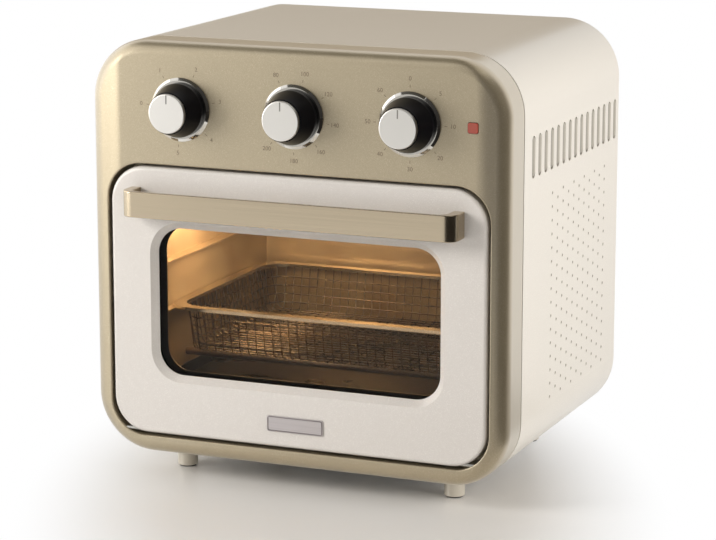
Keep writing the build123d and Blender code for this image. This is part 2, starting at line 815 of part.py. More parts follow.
with BuildPart() as indicator_holder:
    with BuildSketch(front_plane(holder_setback, knob_z, lamp_offset)):
        RectangleRounded(lens_back, lens_back, lens_flange)
    extrude(amount=-holder_depth)
    with BuildSketch(front_plane(holder_setback + holder_depth, knob_z, lamp_offset)):
        Circle(terminal_radius)
    extrude(amount=-terminal_length)
save(indicator_holder.part, "indicator_holder")

# Dial rings fixed to the panel, one under each knob
ring_bore_radius = 8.0
ring_slope = 2.0
ring_slope_depth = 1.5
with BuildPart() as dial_rings:
    with BuildSketch(front_plane(0, knob_z)):
        with Locations(*[(x, 0) for x in knob_places.values()]):
            Circle(dial_ring_radius)
    extrude(amount=dial_ring_thickness)
    chamfer(dial_rings.edges().group_by(Axis.Y)[0], ring_slope_depth, ring_slope)
    with BuildSketch(front_plane(0, knob_z)):
        with Locations(*[(x, 0) for x in knob_places.values()]):
            Circle(ring_bore_radius)
    extrude(amount=dial_ring_thickness, mode=Mode.SUBTRACT)
save(dial_rings.part, "dial_rings")

# Knobs: a tapered body on its shaft, with a bright cap let into the front
knob_foot = dial_ring_thickness + slip
knob_front = knob_proud - knob_cap_thickness
knob_neck_step = 0.8
knob_neck_radius = knob_cap_radius + knob_neck_step
knob_skirt = 4.0
knob_edge = 0.5
cap_edge = 1.0
cap_socket = 0.8
cap_socket_step = 1.0
cap_socket_radius = knob_cap_radius - cap_socket_step
shaft_in_knob = 14.0
shaft_length = knob_foot + shaft_in_knob + control_setback + shaft_socket - shaft_end_gap
for name, x in knob_places.items():
    with BuildPart() as knob:
        with BuildSketch(Plane(origin=(x, front_y, knob_z), x_dir=(1, 0, 0), z_dir=(0, 0, 1))):
            with BuildLine():
                Polyline(
                    (0, -knob_foot),
                    (knob_radius, -knob_foot),
                    (knob_radius, -knob_foot - knob_skirt),
                    (knob_neck_radius, -knob_front),
                    (0, -knob_front),
                    close=True,
                )
            make_face()
        revolve(axis=Axis((x, front_y, knob_z), (0, 1, 0)))
        fillet(knob.edges().filter_by(GeomType.CIRCLE).group_by(Axis.Y)[0], knob_edge)
        with BuildSketch(front_plane(-knob_front, knob_z, x)):
            Circle(cap_socket_radius)
        extrude(amount=-cap_socket, mode=Mode.SUBTRACT)
        with BuildSketch(front_plane(-knob_foot, knob_z, x)):
            Circle(shaft_radius)
        extrude(amount=shaft_in_knob, mode=Mode.SUBTRACT)
    save(knob.part, f"{name}_knob")

    with BuildPart() as knob_cap:
        with BuildSketch(front_plane(-knob_front, knob_z, x)):
            Circle(knob_cap_radius)
        extrude(amount=knob_cap_thickness)
        fillet(knob_cap.edges().group_by(Axis.Y)[0], cap_edge)
        with BuildSketch(front_plane(-knob_front, knob_z, x)):
            Circle(cap_socket_radius)
        extrude(amount=-cap_socket)
    save(knob_cap.part, f"{name}_knob_cap")

    with BuildPart() as shaft:
        with BuildSketch(front_plane(-knob_foot - shaft_in_knob, knob_z, x)):
            Circle(shaft_radius)
        extrude(amount=-shaft_length)
    save(shaft.part, f"{name}_shaft")

# Door moulding with its bevelled window
door_panel_inset = 2.5
handle_screw_radius = 2.0
door_screw_radius = 1.5
door_screw_inset = 5.8
door_screw_length = 9.0
door_screw_hole = 10.0
side_screw_spread = 50.0
edge_screw_spread = 55.0
door_screws = [
    (side * (door_width / 2 - door_screw_inset), edge * side_screw_spread)
    for side in (-1, 1)
    for edge in (-1, 1)
] + [
    (side * edge_screw_spread, edge * (door_height / 2 - door_screw_inset))
    for side in (-1, 1)
    for edge in (-1, 1)
]
handle_screw_x = handle_length / 2 - handle_end / 2
handle_mid = handle_bottom + handle_height / 2

with BuildPart() as door_frame:
    with BuildSketch(front_plane(0, door_mid)):
        RectangleRounded(door_width, door_height, door_radius)
    extrude(amount=-door_depth)
    fillet(door_frame.faces().sort_by(Axis.Y)[0].edges(), door_edge_radius)
    with BuildSketch(front_plane(door_face, door_mid)):
        RectangleRounded(
            door_width - 2 * door_wall, door_height - 2 * door_wall, door_radius - door_wall
        )
    extrude(amount=door_face - door_depth, mode=Mode.SUBTRACT)
    with BuildSketch(front_plane(0, window_mid)):
        RectangleRounded(window_width, window_height, window_radius)
    extrude(amount=-door_face, mode=Mode.SUBTRACT)
    chamfer(door_frame.faces().sort_by(Axis.Y)[0].inner_wires()[0].edges(), window_bevel)
    for side in (-1, 1):
        with BuildSketch(side_plane(side * hinge_start, hinge_inset, hinge_z)):
            Circle(hinge_pin_radius)
        extrude(amount=side * hinge_pin_length, mode=Mode.SUBTRACT)
    with BuildSketch(front_plane(0, handle_mid)):
        with Locations((-handle_screw_x, 0), (handle_screw_x, 0)):
            Circle(handle_screw_radius + running_clearance)
    extrude(amount=-door_face, mode=Mode.SUBTRACT)
    with BuildSketch(front_plane(door_depth, door_mid)):
        with Locations(*door_screws):
            Circle(door_screw_radius)
    extrude(amount=door_screw_hole, mode=Mode.SUBTRACT)
save(door_frame.part, "door_frame")

with BuildPart() as hinge_pins:
    for side in (-1, 1):
        with BuildSketch(side_plane(side * hinge_start, hinge_inset, hinge_z)):
            Circle(hinge_pin_radius)
        extrude(amount=side * hinge_pin_length)
save(hinge_pins.part, "hinge_pins")

with BuildPart() as outer_glass:
    with BuildSketch(front_plane(door_face, window_mid)):
        RectangleRounded(
            window_width + 2 * glass_overlap,
            window_height + 2 * glass_overlap,
            window_radius + glass_overlap,
        )
    extrude(amount=-outer_glass_thickness)
save(outer_glass.part, "outer_glass")

# Steel inner panel, with the inner glass in front of its opening and the gasket behind
with BuildPart() as inner_door_panel:
    with BuildSketch(front_plane(door_depth, door_mid)):
        RectangleRounded(
            door_width - 2 * door_panel_inset,
            door_height - 2 * door_panel_inset,
            door_radius - door_panel_inset,
        )
        with Locations((0, window_mid - door_mid)):
            RectangleRounded(window_width, window_height, window_radius, mode=Mode.SUBTRACT)
        with Locations(*door_screws):
            Circle(door_screw_radius + running_clearance, mode=Mode.SUBTRACT)
    extrude(amount=-sheet)
save(inner_door_panel.part, "inner_door_panel")

with BuildPart() as inner_glass:
    with BuildSketch(front_plane(door_depth, window_mid)):
        RectangleRounded(
            window_width + 2 * glass_overlap,
            window_height + 2 * glass_overlap,
            window_radius + glass_overlap,
        )
    extrude(amount=inner_glass_thickness)
save(inner_glass.part, "inner_glass")

door_screw_head = 2.6
door_screw_head_height = 1.8
with BuildPart() as door_screw_set:
    with BuildSketch(front_plane(door_depth + sheet, door_mid)):
        with Locations(*door_screws):
            Circle(door_screw_head)
    extrude(amount=-door_screw_head_height)
    with BuildSketch(front_plane(door_depth + sheet, door_mid)):
        with Locations(*door_screws):
            Circle(door_screw_radius)
    extrude(amount=sheet + door_screw_length)
save(door_screw_set.part, "door_screws")

gasket_setback = door_depth + sheet
gasket_outer_width = cavity_width + 2 * (gasket_inset + gasket_width)
gasket_outer_height = cavity_height + 2 * (gasket_inset + gasket_width)
gasket_radius = 14.0
with BuildPart() as door_gasket:
    with BuildSketch(front_plane(gasket_setback, cavity_mid)):
        RectangleRounded(gasket_outer_width, gasket_outer_height, gasket_radius)
        RectangleRounded(
            gasket_outer_width - 2 * gasket_width,
            gasket_outer_height - 2 * gasket_width,
            gasket_radius - gasket_width,
            mode=Mode.SUBTRACT,
        )
    extrude(amount=gasket_setback - liner_setback + slip)
save(door_gasket.part, "door_gasket")

# Door magnets on the liner's flange, which hold the steel inner panel shut
magnet_width = 24.0
magnet_height = 3.0
magnet_offset = 95.0
magnet_gap = 0.5
magnet_z = cavity_mid + gasket_outer_height / 2 + magnet_gap + magnet_height / 2
with BuildPart() as door_magnets:
    with BuildSketch(front_plane(liner_setback, magnet_z)):
        with Locations((-magnet_offset, 0), (magnet_offset, 0)):
            Rectangle(magnet_width, magnet_height)
    extrude(amount=liner_setback - door_depth - sheet - slip)
save(door_magnets.part, "door_magnets")

# Handle
handle_edge = 0.8
handle_screw_hole = 8.0
handle_screw_length = 7.0
handle_screw_head = 3.6
handle_screw_head_height = 2.2
with BuildPart() as door_handle:
    with BuildSketch(Plane((0, front_y, handle_bottom))):
        RectangleRounded(handle_length, 2 * handle_reach, handle_bend_radius)
        RectangleRounded(
            handle_length - 2 * handle_end,
            2 * (handle_reach - handle_strip),
            handle_bend_radius - handle_strip,
            mode=Mode.SUBTRACT,
        )
        with Locations((0, -handle_reach / 2)):
            Rectangle(handle_length, handle_reach, mode=Mode.INTERSECT)
    extrude(amount=handle_height)
    fillet(door_handle.faces().sort_by(Axis.Y)[0].edges().filter_by(Axis.X), handle_edge)
    with BuildSketch(front_plane(0, handle_mid)):
        with Locations((-handle_screw_x, 0), (handle_screw_x, 0)):
            Circle(handle_screw_radius)
    extrude(amount=handle_screw_hole, mode=Mode.SUBTRACT)
save(door_handle.part, "door_handle")

with BuildPart() as handle_screws:
    with BuildSketch(front_plane(door_face, handle_mid)):
        with Locations((-handle_screw_x, 0), (handle_screw_x, 0)):
            Circle(handle_screw_head)
    extrude(amount=-handle_screw_head_height)
    with BuildSketch(front_plane(door_face, handle_mid)):
        with Locations((-handle_screw_x, 0), (handle_screw_x, 0)):
            Circle(handle_screw_radius)
    extrude(amount=door_face + handle_screw_length)
save(handle_screws.part, "handle_screws")

# Blank plate under the window
badge_width = 46.5
badge_height = 12.5
badge_rise = 18.5
badge_thickness = 0.8
badge_corner = 1.5
with BuildPart() as badge_plate:
    with BuildSketch(front_plane(0, door_bottom + badge_rise)):
        RectangleRounded(badge_width, badge_height, badge_corner)
    extrude(amount=badge_thickness)
save(badge_plate.part, "badge_plate")

# Basket: a perforated tub hung by its rim on the lower shelves of the rack guides
rim_z = cavity_bottom + rack_height + sheet + slip
rim_front_gap = 5.0
rim_back_gap = 8.0
rim_side_gap = 1.0
rim_corner = 22.0
rim_setback = liner_setback + guide_start + rim_front_gap
rim_length = cavity_depth - guide_start - rim_front_gap - rim_back_gap
rim_mid_y = front_y + rim_setback + rim_length / 2
rim_width = cavity_width - 2 * (sheet + slip + rim_side_gap)
tub_width = rim_width - 2 * basket_rim_width
tub_length = rim_length - 2 * basket_rim_width
tub_taper = 6.0
tub_corner = 20.0
tub_floor_corner = tub_corner - tub_taper
tub_floor_z = rim_z - basket_depth_down
tub_floor_width = tub_width - 2 * tub_taper
tub_floor_length = tub_length - 2 * tub_taper
mesh_thickness = 1.0
mesh_pitch = 14.0
mesh_hole = 10.5
mesh_margin = 7.0
mesh_columns = int((tub_floor_width - 2 * mesh_margin - mesh_hole) / mesh_pitch) + 1
mesh_rows = int((tub_floor_length - 2 * mesh_margin - mesh_hole) / mesh_pitch) + 1
with BuildPart() as basket_tub:
    with BuildSketch(Plane((0, rim_mid_y, tub_floor_z))):
        RectangleRounded(tub_floor_width, tub_floor_length, tub_floor_corner)
    with BuildSketch(Plane((0, rim_mid_y, rim_z))):
        RectangleRounded(tub_width, tub_length, tub_corner)
    loft(ruled=True)
    with BuildSketch(Plane((0, rim_mid_y, tub_floor_z + mesh_thickness))):
        RectangleRounded(
            tub_floor_width - 2 * mesh_thickness,
            tub_floor_length - 2 * mesh_thickness,
            tub_floor_corner - mesh_thickness,
        )
    with BuildSketch(Plane((0, rim_mid_y, rim_z))):
        RectangleRounded(
            tub_width - 2 * mesh_thickness,
            tub_length - 2 * mesh_thickness,
            tub_corner - mesh_thickness,
        )
    loft(ruled=True, mode=Mode.SUBTRACT)
    with BuildSketch(Plane((0, rim_mid_y, tub_floor_z))):
        with GridLocations(mesh_pitch, mesh_pitch, mesh_columns, mesh_rows):
            Rectangle(mesh_hole, mesh_hole)
    extrude(amount=mesh_thickness, mode=Mode.SUBTRACT)
save(basket_tub.part, "basket_tub")

with BuildPart() as basket_rim:
    with BuildSketch(Plane((0, rim_mid_y, rim_z))):
        RectangleRounded(rim_width, rim_length, rim_corner)
        RectangleRounded(
            tub_width - 2 * mesh_thickness,
            tub_length - 2 * mesh_thickness,
            tub_corner - mesh_thickness,
            mode=Mode.SUBTRACT,
        )
    extrude(amount=basket_rim_height)
save(basket_rim.part, "basket_rim")

# Drip tray on the cavity floor
tray_back_gap = 10.0
tray_side_gap = 8.0
tray_corner = 10.0
tray_setback = liner_setback + guide_start
tray_length = cavity_depth - guide_start - tray_back_gap
tray_width = cavity_width - 2 * tray_side_gap
tray_mid_y = front_y + tray_setback + tray_length / 2
tray_z = cavity_bottom + slip
with BuildPart() as drip_tray:
    with BuildSketch(Plane((0, tray_mid_y, tray_z))):
        RectangleRounded(tray_width, tray_length, tray_corner)
    extrude(amount=tray_height)
    with BuildSketch(Plane((0, tray_mid_y, tray_z + sheet))):
        RectangleRounded(tray_width - 2 * sheet, tray_length - 2 * sheet, tray_corner - sheet)
    extrude(amount=tray_height, mode=Mode.SUBTRACT)
save(drip_tray.part, "drip_tray")
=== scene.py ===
import bpy
import bmesh
import json
from math import cos, pi, radians, sin, sqrt
from mathutils import Matrix, Vector

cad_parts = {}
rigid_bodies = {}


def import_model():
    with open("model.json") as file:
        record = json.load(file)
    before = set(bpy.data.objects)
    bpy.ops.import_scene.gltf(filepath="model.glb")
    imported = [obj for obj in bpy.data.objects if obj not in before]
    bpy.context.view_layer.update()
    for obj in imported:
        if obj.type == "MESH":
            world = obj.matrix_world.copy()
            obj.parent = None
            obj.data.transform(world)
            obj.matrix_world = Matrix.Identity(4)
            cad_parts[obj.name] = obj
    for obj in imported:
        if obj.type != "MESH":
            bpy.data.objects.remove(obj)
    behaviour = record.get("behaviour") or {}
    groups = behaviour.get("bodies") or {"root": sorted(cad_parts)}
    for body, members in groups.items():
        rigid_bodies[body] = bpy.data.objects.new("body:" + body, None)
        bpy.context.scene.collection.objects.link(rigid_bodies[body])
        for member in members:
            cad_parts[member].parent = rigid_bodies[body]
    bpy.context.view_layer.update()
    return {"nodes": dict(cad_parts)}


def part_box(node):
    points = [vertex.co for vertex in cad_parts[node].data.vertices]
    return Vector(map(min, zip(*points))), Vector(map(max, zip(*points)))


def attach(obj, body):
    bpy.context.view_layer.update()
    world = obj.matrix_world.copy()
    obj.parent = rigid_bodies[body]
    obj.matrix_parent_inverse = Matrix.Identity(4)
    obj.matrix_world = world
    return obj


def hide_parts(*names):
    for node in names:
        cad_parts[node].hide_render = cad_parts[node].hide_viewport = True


# Countertop air fryer oven, in metres. The door faces -Y and the oven stands on z = 0.
for leftOver in list(bpy.data.objects):
    bpy.data.objects.remove(leftOver)
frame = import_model()
nodes = frame["nodes"]
scene = bpy.context.scene
mm = 0.001
white = (1, 1, 1, 1)
# points nearer to each other than this are one
samePlace = 1e-6
print("stage 1: frame loaded,", len(nodes), "nodes")


def srgb(red, green, blue):
    # screen values 0 to 255 turned into the linear colour that the shaders use
    linear = []
    for channel in (red, green, blue):
        share = channel / 255
        linear.append(share / 12.92 if share <= 0.04045 else ((share + 0.055) / 1.055) ** 2.4)
    return (*linear, 1.0)


def addObject(name, data):
    thing = bpy.data.objects.new(name, data)
    scene.collection.objects.link(thing)
    return thing


# Camera at the photograph's viewing angle

cameraView = {
    "place": (0.8207, -1.9713, 0.6036),
    "tiltDown": 11.96,
    "turn": 22.608,
    "lens": 138.23,
    "sensor": 36,
}


def makeCamera():
    camera = addObject("camera", bpy.data.cameras.new("camera"))
    camera.location = cameraView["place"]
    camera.rotation_euler = (radians(90 - cameraView["tiltDown"]), 0, radians(cameraView["turn"]))
    camera.data.lens = cameraView["lens"]
    camera.data.sensor_width = cameraView["sensor"]
    scene.camera = camera


makeCamera()


# Shader groups shared by the finishes

def startGroup(name, inputs, outputs):
    group = bpy.data.node_groups.new(name, "ShaderNodeTree")
    for label, kind, value in inputs:
        socket = group.interface.new_socket(name=label, in_out="INPUT", socket_type="NodeSocket" + kind)
        socket.default_value = value
    for label, kind in outputs:
        group.interface.new_socket(name=label, in_out="OUTPUT", socket_type="NodeSocket" + kind)
    return group, group.nodes.new("NodeGroupInput"), group.nodes.new("NodeGroupOutput")


def addNode(tree, kind, inputs=None, **settings):
    node = tree.nodes.new(kind)
    for key, value in settings.items():
        setattr(node, key, value)
    for label, value in (inputs or {}).items():
        if isinstance(value, bpy.types.NodeSocket):
            tree.links.new(value, node.inputs[label])
        else:
            node.inputs[label].default_value = value
    return node


def calculate(tree, operation, *values, clamp=False):
    node = addNode(tree, "ShaderNodeMath", dict(enumerate(values)), operation=operation, use_clamp=clamp)
    return node.outputs[0]


def vectorMath(tree, operation, *values):
    node = addNode(tree, "ShaderNodeVectorMath", dict(enumerate(values)), operation=operation)
    return node.outputs["Value" if operation == "LENGTH" else "Vector"]


def mapRange(tree, value, low, high, toLow=0.0, toHigh=1.0, kind="LINEAR"):
    inputs = {"Value": value, "From Min": low, "From Max": high, "To Min": toLow, "To Max": toHigh}
    return addNode(tree, "ShaderNodeMapRange", inputs, interpolation_type=kind).outputs[0]


def blendColors(tree, factor, first, second, mode="MIX"):
    # a colour mix takes its factor at input 0 and its colours at 6 and 7, and gives its result at output 2
    inputs = {0: factor, 6: first, 7: second}
    return addNode(tree, "ShaderNodeMix", inputs, data_type="RGBA", blend_type=mode).outputs[2]


def objectPlace(tree):
    return tree.nodes.new("ShaderNodeTexCoord").outputs["Object"]


def varyTexture(group, source, result, pattern, height, toneInput=None):
    # one noise, centred on zero, shifts the roughness and the colour's tone, and one gives the height
    centred = calculate(group, "SUBTRACT", pattern.outputs["Fac"], 0.5)
    spread, middle = source.outputs["Roughness Spread"], source.outputs["Roughness"]
    rough = calculate(group, "MULTIPLY_ADD", centred, spread, middle)
    group.links.new(rough, result.inputs["Roughness"])
    group.links.new(height.outputs["Fac"], result.inputs["Height"])
    if toneInput:
        tone = calculate(group, "MULTIPLY_ADD", centred, source.outputs[toneInput], 1.0)
        inputs = {0: source.outputs["Color"], "Scale": tone}
        shade = addNode(group, "ShaderNodeVectorMath", inputs, operation="SCALE")
        group.links.new(shade.outputs[0], result.inputs["Color"])


plainColor = (0.8, 0.8, 0.8, 1)
# multiplying by this takes the Y part out of a vector
withoutY = (1, 0, 1)
textureOutputs = [("Color", "Color"), ("Roughness", "Float"), ("Height", "Float")]


def makeSurfaceGrain():
    # broad clouds of tone and gloss with a fine orange-peel height
    group, source, result = startGroup(
        "surfaceGrain",
        [
            ("Color", "Color", plainColor),
            ("Tone Shift", "Float", 0.05),
            ("Grain Scale", "Float", 900.0),
            ("Cloud Scale", "Float", 9.0),
            ("Roughness", "Float", 0.35),
            ("Roughness Spread", "Float", 0.06),
        ],
        textureOutputs,
    )
    place = objectPlace(group)
    grain, cloud = [
        addNode(
            group, "ShaderNodeTexNoise", {"Vector": place, "Scale": source.outputs[scale], "Detail": detail}
        )
        for scale, detail in (("Grain Scale", 2.0), ("Cloud Scale", 5.0))
    ]
    varyTexture(group, source, result, cloud, grain, "Tone Shift")
    return group


def makePaintFlake():
    # pearl flakes: a few small cells of the paint take a lighter colour
    group, source, result = startGroup(
        "paintFlake",
        [
            ("Color", "Color", plainColor),
            ("Flake Color", "Color", white),
            ("Flake Scale", "Float", 5200.0),
            ("Flake Amount", "Float", 0.2),
        ],
        [("Color", "Color")],
    )
    scale = source.outputs["Flake Scale"]
    cells = addNode(group, "ShaderNodeTexVoronoi", {"Vector": objectPlace(group), "Scale": scale})
    chance = addNode(group, "ShaderNodeSeparateColor", {"Color": cells.outputs["Color"]})
    chosen = calculate(group, "LESS_THAN", chance.outputs[0], source.outputs["Flake Amount"])
    strength = calculate(group, "MULTIPLY", chosen, chance.outputs[1])
    mixed = blendColors(group, strength, source.outputs["Color"], source.outputs["Flake Color"])
    group.links.new(mixed, result.inputs["Color"])
    return group


def makeBrushedLines():
    # straight brushing: noise stretched along one axis, by a frequency per metre for each axis
    group, source, result = startGroup(
        "brushedLines",
        [
            ("Color", "Color", plainColor),
            ("Frequency", "Vector", (10.0, 1500.0, 1500.0)),
            ("Contrast", "Float", 0.2),
            ("Roughness", "Float", 0.3),
            ("Roughness Spread", "Float", 0.12),
        ],
        textureOutputs,
    )
    stretched = vectorMath(group, "MULTIPLY", objectPlace(group), source.outputs["Frequency"])
    lines = addNode(group, "ShaderNodeTexNoise", {"Vector": stretched, "Scale": 1.0, "Detail": 3.0})
    varyTexture(group, source, result, lines, lines, "Contrast")
    return group


def makeHeatStain():
    # soft brown clouds that cooking leaves on metal
    group, source, result = startGroup(
        "heatStain",
        [
            ("Color", "Color", plainColor),
            ("Stain Color", "Color", srgb(120, 78, 40)),
            ("Scale", "Float", 14.0),
            ("Amount", "Float", 0.4),
        ],
        [("Color", "Color")],
    )
    cloud = addNode(
        group,
        "ShaderNodeTexNoise",
        {"Vector": objectPlace(group), "Scale": source.outputs["Scale"], "Detail": 6.0, "Distortion": 0.6},
    )
    clean, stained = 0.42, 0.72
    cover = mapRange(group, cloud.outputs["Fac"], clean, stained)
    mask = calculate(group, "MULTIPLY", cover, source.outputs["Amount"], clamp=True)
    mixed = blendColors(group, mask, source.outputs["Color"], source.outputs["Stain Color"])
    group.links.new(mixed, result.inputs["Color"])
    return group


def makeTurnedRings():
    # lathe marks round the Y axis of the vector that comes in
    group, source, result = startGroup(
        "turnedRings",
        [
            ("Vector", "Vector", (0.0, 0.0, 0.0)),
            ("Rings Per Metre", "Float", 2500.0),
            ("Roughness", "Float", 0.25),
            ("Roughness Spread", "Float", 0.1),
        ],
        textureOutputs[1:],
    )
    flat = vectorMath(group, "MULTIPLY", source.outputs["Vector"], withoutY)
    radius = vectorMath(group, "LENGTH", flat)
    turns = calculate(group, "MULTIPLY", radius, source.outputs["Rings Per Metre"])
    inputs = {"W": turns, "Scale": 1.0, "Detail": 2.0}
    rings = addNode(group, "ShaderNodeTexNoise", inputs, noise_dimensions="1D")
    varyTexture(group, source, result, rings, rings)
    return group


def makeEdgeDistance():
    # how far a point lies inside a rounded rectangle that stands in the XZ plane
    group, source, result = startGroup(
        "edgeDistance",
        [
            ("Centre", "Vector", (0.0, 0.0, 0.18)),
            ("Straight Half Size", "Vector", (0.12, 0.0, 0.11)),
            ("Corner Radius", "Float", 0.046),
        ],
        [("Distance", "Float")],
    )
    offset = vectorMath(group, "SUBTRACT", objectPlace(group), source.outputs["Centre"])
    flat = vectorMath(group, "MULTIPLY", offset, withoutY)
    folded = vectorMath(group, "ABSOLUTE", flat)
    past = vectorMath(group, "SUBTRACT", folded, source.outputs["Straight Half Size"])
    reach = vectorMath(group, "LENGTH", vectorMath(group, "MAXIMUM", past, (0, 0, 0)))
    parts = addNode(group, "ShaderNodeSeparateXYZ", {0: past})
    inner = calculate(group, "MAXIMUM", parts.outputs[0], parts.outputs[2])
    inner = calculate(group, "MINIMUM", inner, 0.0)
    total = calculate(group, "ADD", reach, inner)
    distance = calculate(group, "SUBTRACT", source.outputs["Corner Radius"], total)
    group.links.new(distance, result.inputs["Distance"])
    return group


edgeDistance = makeEdgeDistance()
surfaceGrain = makeSurfaceGrain()
paintFlake = makePaintFlake()
brushedLines = makeBrushedLines()
heatStain = makeHeatStain()
turnedRings = makeTurnedRings()
bumpDistance = 0.1 * mm


def startMaterial(name, **sockets):
    # underscores in a socket's keyword stand for the spaces in its label
    material = bpy.data.materials.new(name)
    material.use_nodes = True
    shader = material.node_tree.nodes["Principled BSDF"]
    for label, value in sockets.items():
        shader.inputs[label.replace("_", " ")].default_value = value
    return material, material.node_tree, shader


def useGroup(tree, group, **inputs):
    spaced = {label.replace("_", " "): value for label, value in inputs.items()}
    return addNode(tree, "ShaderNodeGroup", spaced, node_tree=group)


def wearTexture(tree, shader, texture, bump=0.0):
    # the shader takes the colour, the roughness and the height that a texture group gives
    for label, target in (("Color", "Base Color"), ("Roughness", "Roughness")):
        if label in texture.outputs:
            tree.links.new(texture.outputs[label], shader.inputs[target])
    if bump:
        inputs = {"Height": texture.outputs["Height"], "Strength": bump, "Distance": bumpDistance}
        normal = addNode(tree, "ShaderNodeBump", inputs).outputs["Normal"]
        tree.links.new(normal, shader.inputs["Normal"])


def paintedMaterial(name, look):
    material, tree, shader = startMaterial(
        name, Metallic=look["metallic"], Coat_Weight=look["coat"], Coat_Roughness=look["coatRoughness"]
    )
    flake = useGroup(
        tree, paintFlake, Color=look["color"], Flake_Color=look["flake"], Flake_Amount=look["flakeShare"]
    )
    grain = useGroup(
        tree,
        surfaceGrain,
        Color=flake.outputs["Color"],
        Tone_Shift=look["toneShift"],
        Grain_Scale=700.0,
        Roughness=look["roughness"],
    )
    wearTexture(tree, shader, grain, look["peel"])
    return material


def plainMaterial(
    name, color, roughness, toneShift=0.08, metallic=0.0, grainScale=900.0, bump=0.1, coat=0.0, specular=0.5
):
    material, tree, shader = startMaterial(
        name, Metallic=metallic, Coat_Weight=coat, Specular_IOR_Level=specular
    )
    grain = useGroup(
        tree, surfaceGrain, Color=color, Tone_Shift=toneShift, Grain_Scale=grainScale, Roughness=roughness
    )
    wearTexture(tree, shader, grain, bump)
    return material


def brushedMaterial(name, color, frequency, roughness, contrast, metallic=1.0, bump=0.15, stain=0.0):
    material, tree, shader = startMaterial(name, Metallic=metallic)
    lines = useGroup(
        tree, brushedLines, Color=color, Frequency=frequency, Contrast=contrast, Roughness=roughness
    )
    wearTexture(tree, shader, lines, bump)
    if stain:
        heated = useGroup(tree, heatStain, Color=lines.outputs["Color"], Amount=stain)
        tree.links.new(heated.outputs["Color"], shader.inputs["Base Color"])
    return material


def turnedMaterial(name, color, roughness, centre, bump=0.12):
    material, tree, shader = startMaterial(name, Base_Color=color, Metallic=1.0)
    centred = addNode(tree, "ShaderNodeMapping", {"Vector": objectPlace(tree), "Location": -centre})
    rings = useGroup(tree, turnedRings, Vector=centred.outputs[0], Roughness=roughness)
    wearTexture(tree, shader, rings, bump)
    return material


def glassMaterial(name, tint, roughness, refraction=1.16):
    # the low index of refraction keeps the reflection on the pane faint
    material, tree, shader = startMaterial(name, Transmission_Weight=1.0, IOR=refraction, Base_Color=tint)
    grain = useGroup(
        tree, surfaceGrain, Color=tint, Tone_Shift=0.03, Roughness=roughness, Roughness_Spread=0.02
    )
    wearTexture(tree, shader, grain)
    return material


def paint(material, *names):
    for name in names:
        for slot in nodes[name].material_slots:
            slot.material = material


shellLook = {
    "color": srgb(227, 221, 211),
    "flake": srgb(246, 240, 230),
    "flakeShare": 0.10,
    "toneShift": 0.03,
    "roughness": 0.38,
    "metallic": 0.10,
    "coat": 0.2,
    "coatRoughness": 0.15,
    "peel": 0.08,
    "ventHeight": (0.2475, 0.2809),
    "ventDepth": (0.1699, 0.1690),
    # painted shade on the louvre blades behind the face of the sheet
    "ventPaintedShade": (0.62, 0.61, 0.60, 1.0),
}
frameLook = {
    "color": srgb(173, 159, 132),
    "flake": srgb(214, 202, 174),
    "flakeShare": 0.14,
    "toneShift": 0.03,
    "roughness": 0.39,
    "metallic": 0.78,
    "coat": 1.0,
    "coatRoughness": 0.30,
    "peel": 0.04,
    "crownWidth": 26 * mm,
    "crownDrop": 5.6 * mm,
    "crownLift": 24 * mm,
    "corner": 46 * mm,
    # a painted highlight on the outermost rounding: its reach, colour and metallic
    "rimHighlightReach": (0.3 * mm, 2.6 * mm),
    "rimHighlightColor": srgb(196, 184, 162),
    "rimHighlightMetallic": 0.58,
}
doorLook = {
    "color": srgb(209, 204, 199),
    "flake": srgb(248, 245, 240),
    "flakeShare": 0.10,
    "toneShift": 0.02,
    "roughness": 0.36,
    "metallic": 0.10,
    "coat": 0.25,
    "coatRoughness": 0.14,
    "peel": 0.04,
}


def blendBase(tree, share, color, mode="MIX"):
    # mixes a colour into what feeds the shader's base colour
    base = tree.nodes["Principled BSDF"].inputs["Base Color"]
    mixed = blendColors(tree, share, base.links[0].from_socket, color, mode)
    tree.links.new(mixed, base)


def paintVentShade(material):
    # painted shade: the louvre blades that lie behind the face of the sheet are painted darker
    tree = material.node_tree
    parts = addNode(tree, "ShaderNodeSeparateXYZ", {0: objectPlace(tree)})
    reach = calculate(tree, "ABSOLUTE", parts.outputs[0])
    behind = mapRange(tree, reach, *shellLook["ventDepth"])
    low, high = shellLook["ventHeight"]
    above = calculate(tree, "GREATER_THAN", parts.outputs[2], low)
    below = calculate(tree, "LESS_THAN", parts.outputs[2], high)
    band = calculate(tree, "MULTIPLY", above, below)
    blendBase(tree, calculate(tree, "MULTIPLY", band, behind), shellLook["ventPaintedShade"], "MULTIPLY")


def frameEdge(tree, lift=0.0):
    # how far a point lies inside the frame's outline, with the top and bottom moved out by the lift
    low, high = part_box("front_frame")
    half = (high - low) / 2
    corner = frameLook["corner"]
    straight = Vector((half.x - corner, 0, half.z - corner + lift))
    edge = useGroup(
        tree, edgeDistance, Centre=(low + high) / 2, Straight_Half_Size=straight, Corner_Radius=corner
    )
    return edge.outputs["Distance"]


def crownEdges(material):
    # the frame's face falls away softly towards its two sides, and keeps flat towards its top and bottom
    tree = material.node_tree
    distance = frameEdge(tree, frameLook["crownLift"])
    rise = mapRange(tree, distance, 0.0, frameLook["crownWidth"], 0.0, frameLook["crownDrop"], "SMOOTHSTEP")
    bump = tree.nodes["Principled BSDF"].inputs["Normal"].links[0].from_node
    crown = addNode(tree, "ShaderNodeBump", {"Height": rise, "Strength": 1.0, "Distance": 1.0})
    tree.links.new(crown.outputs["Normal"], bump.inputs["Normal"])


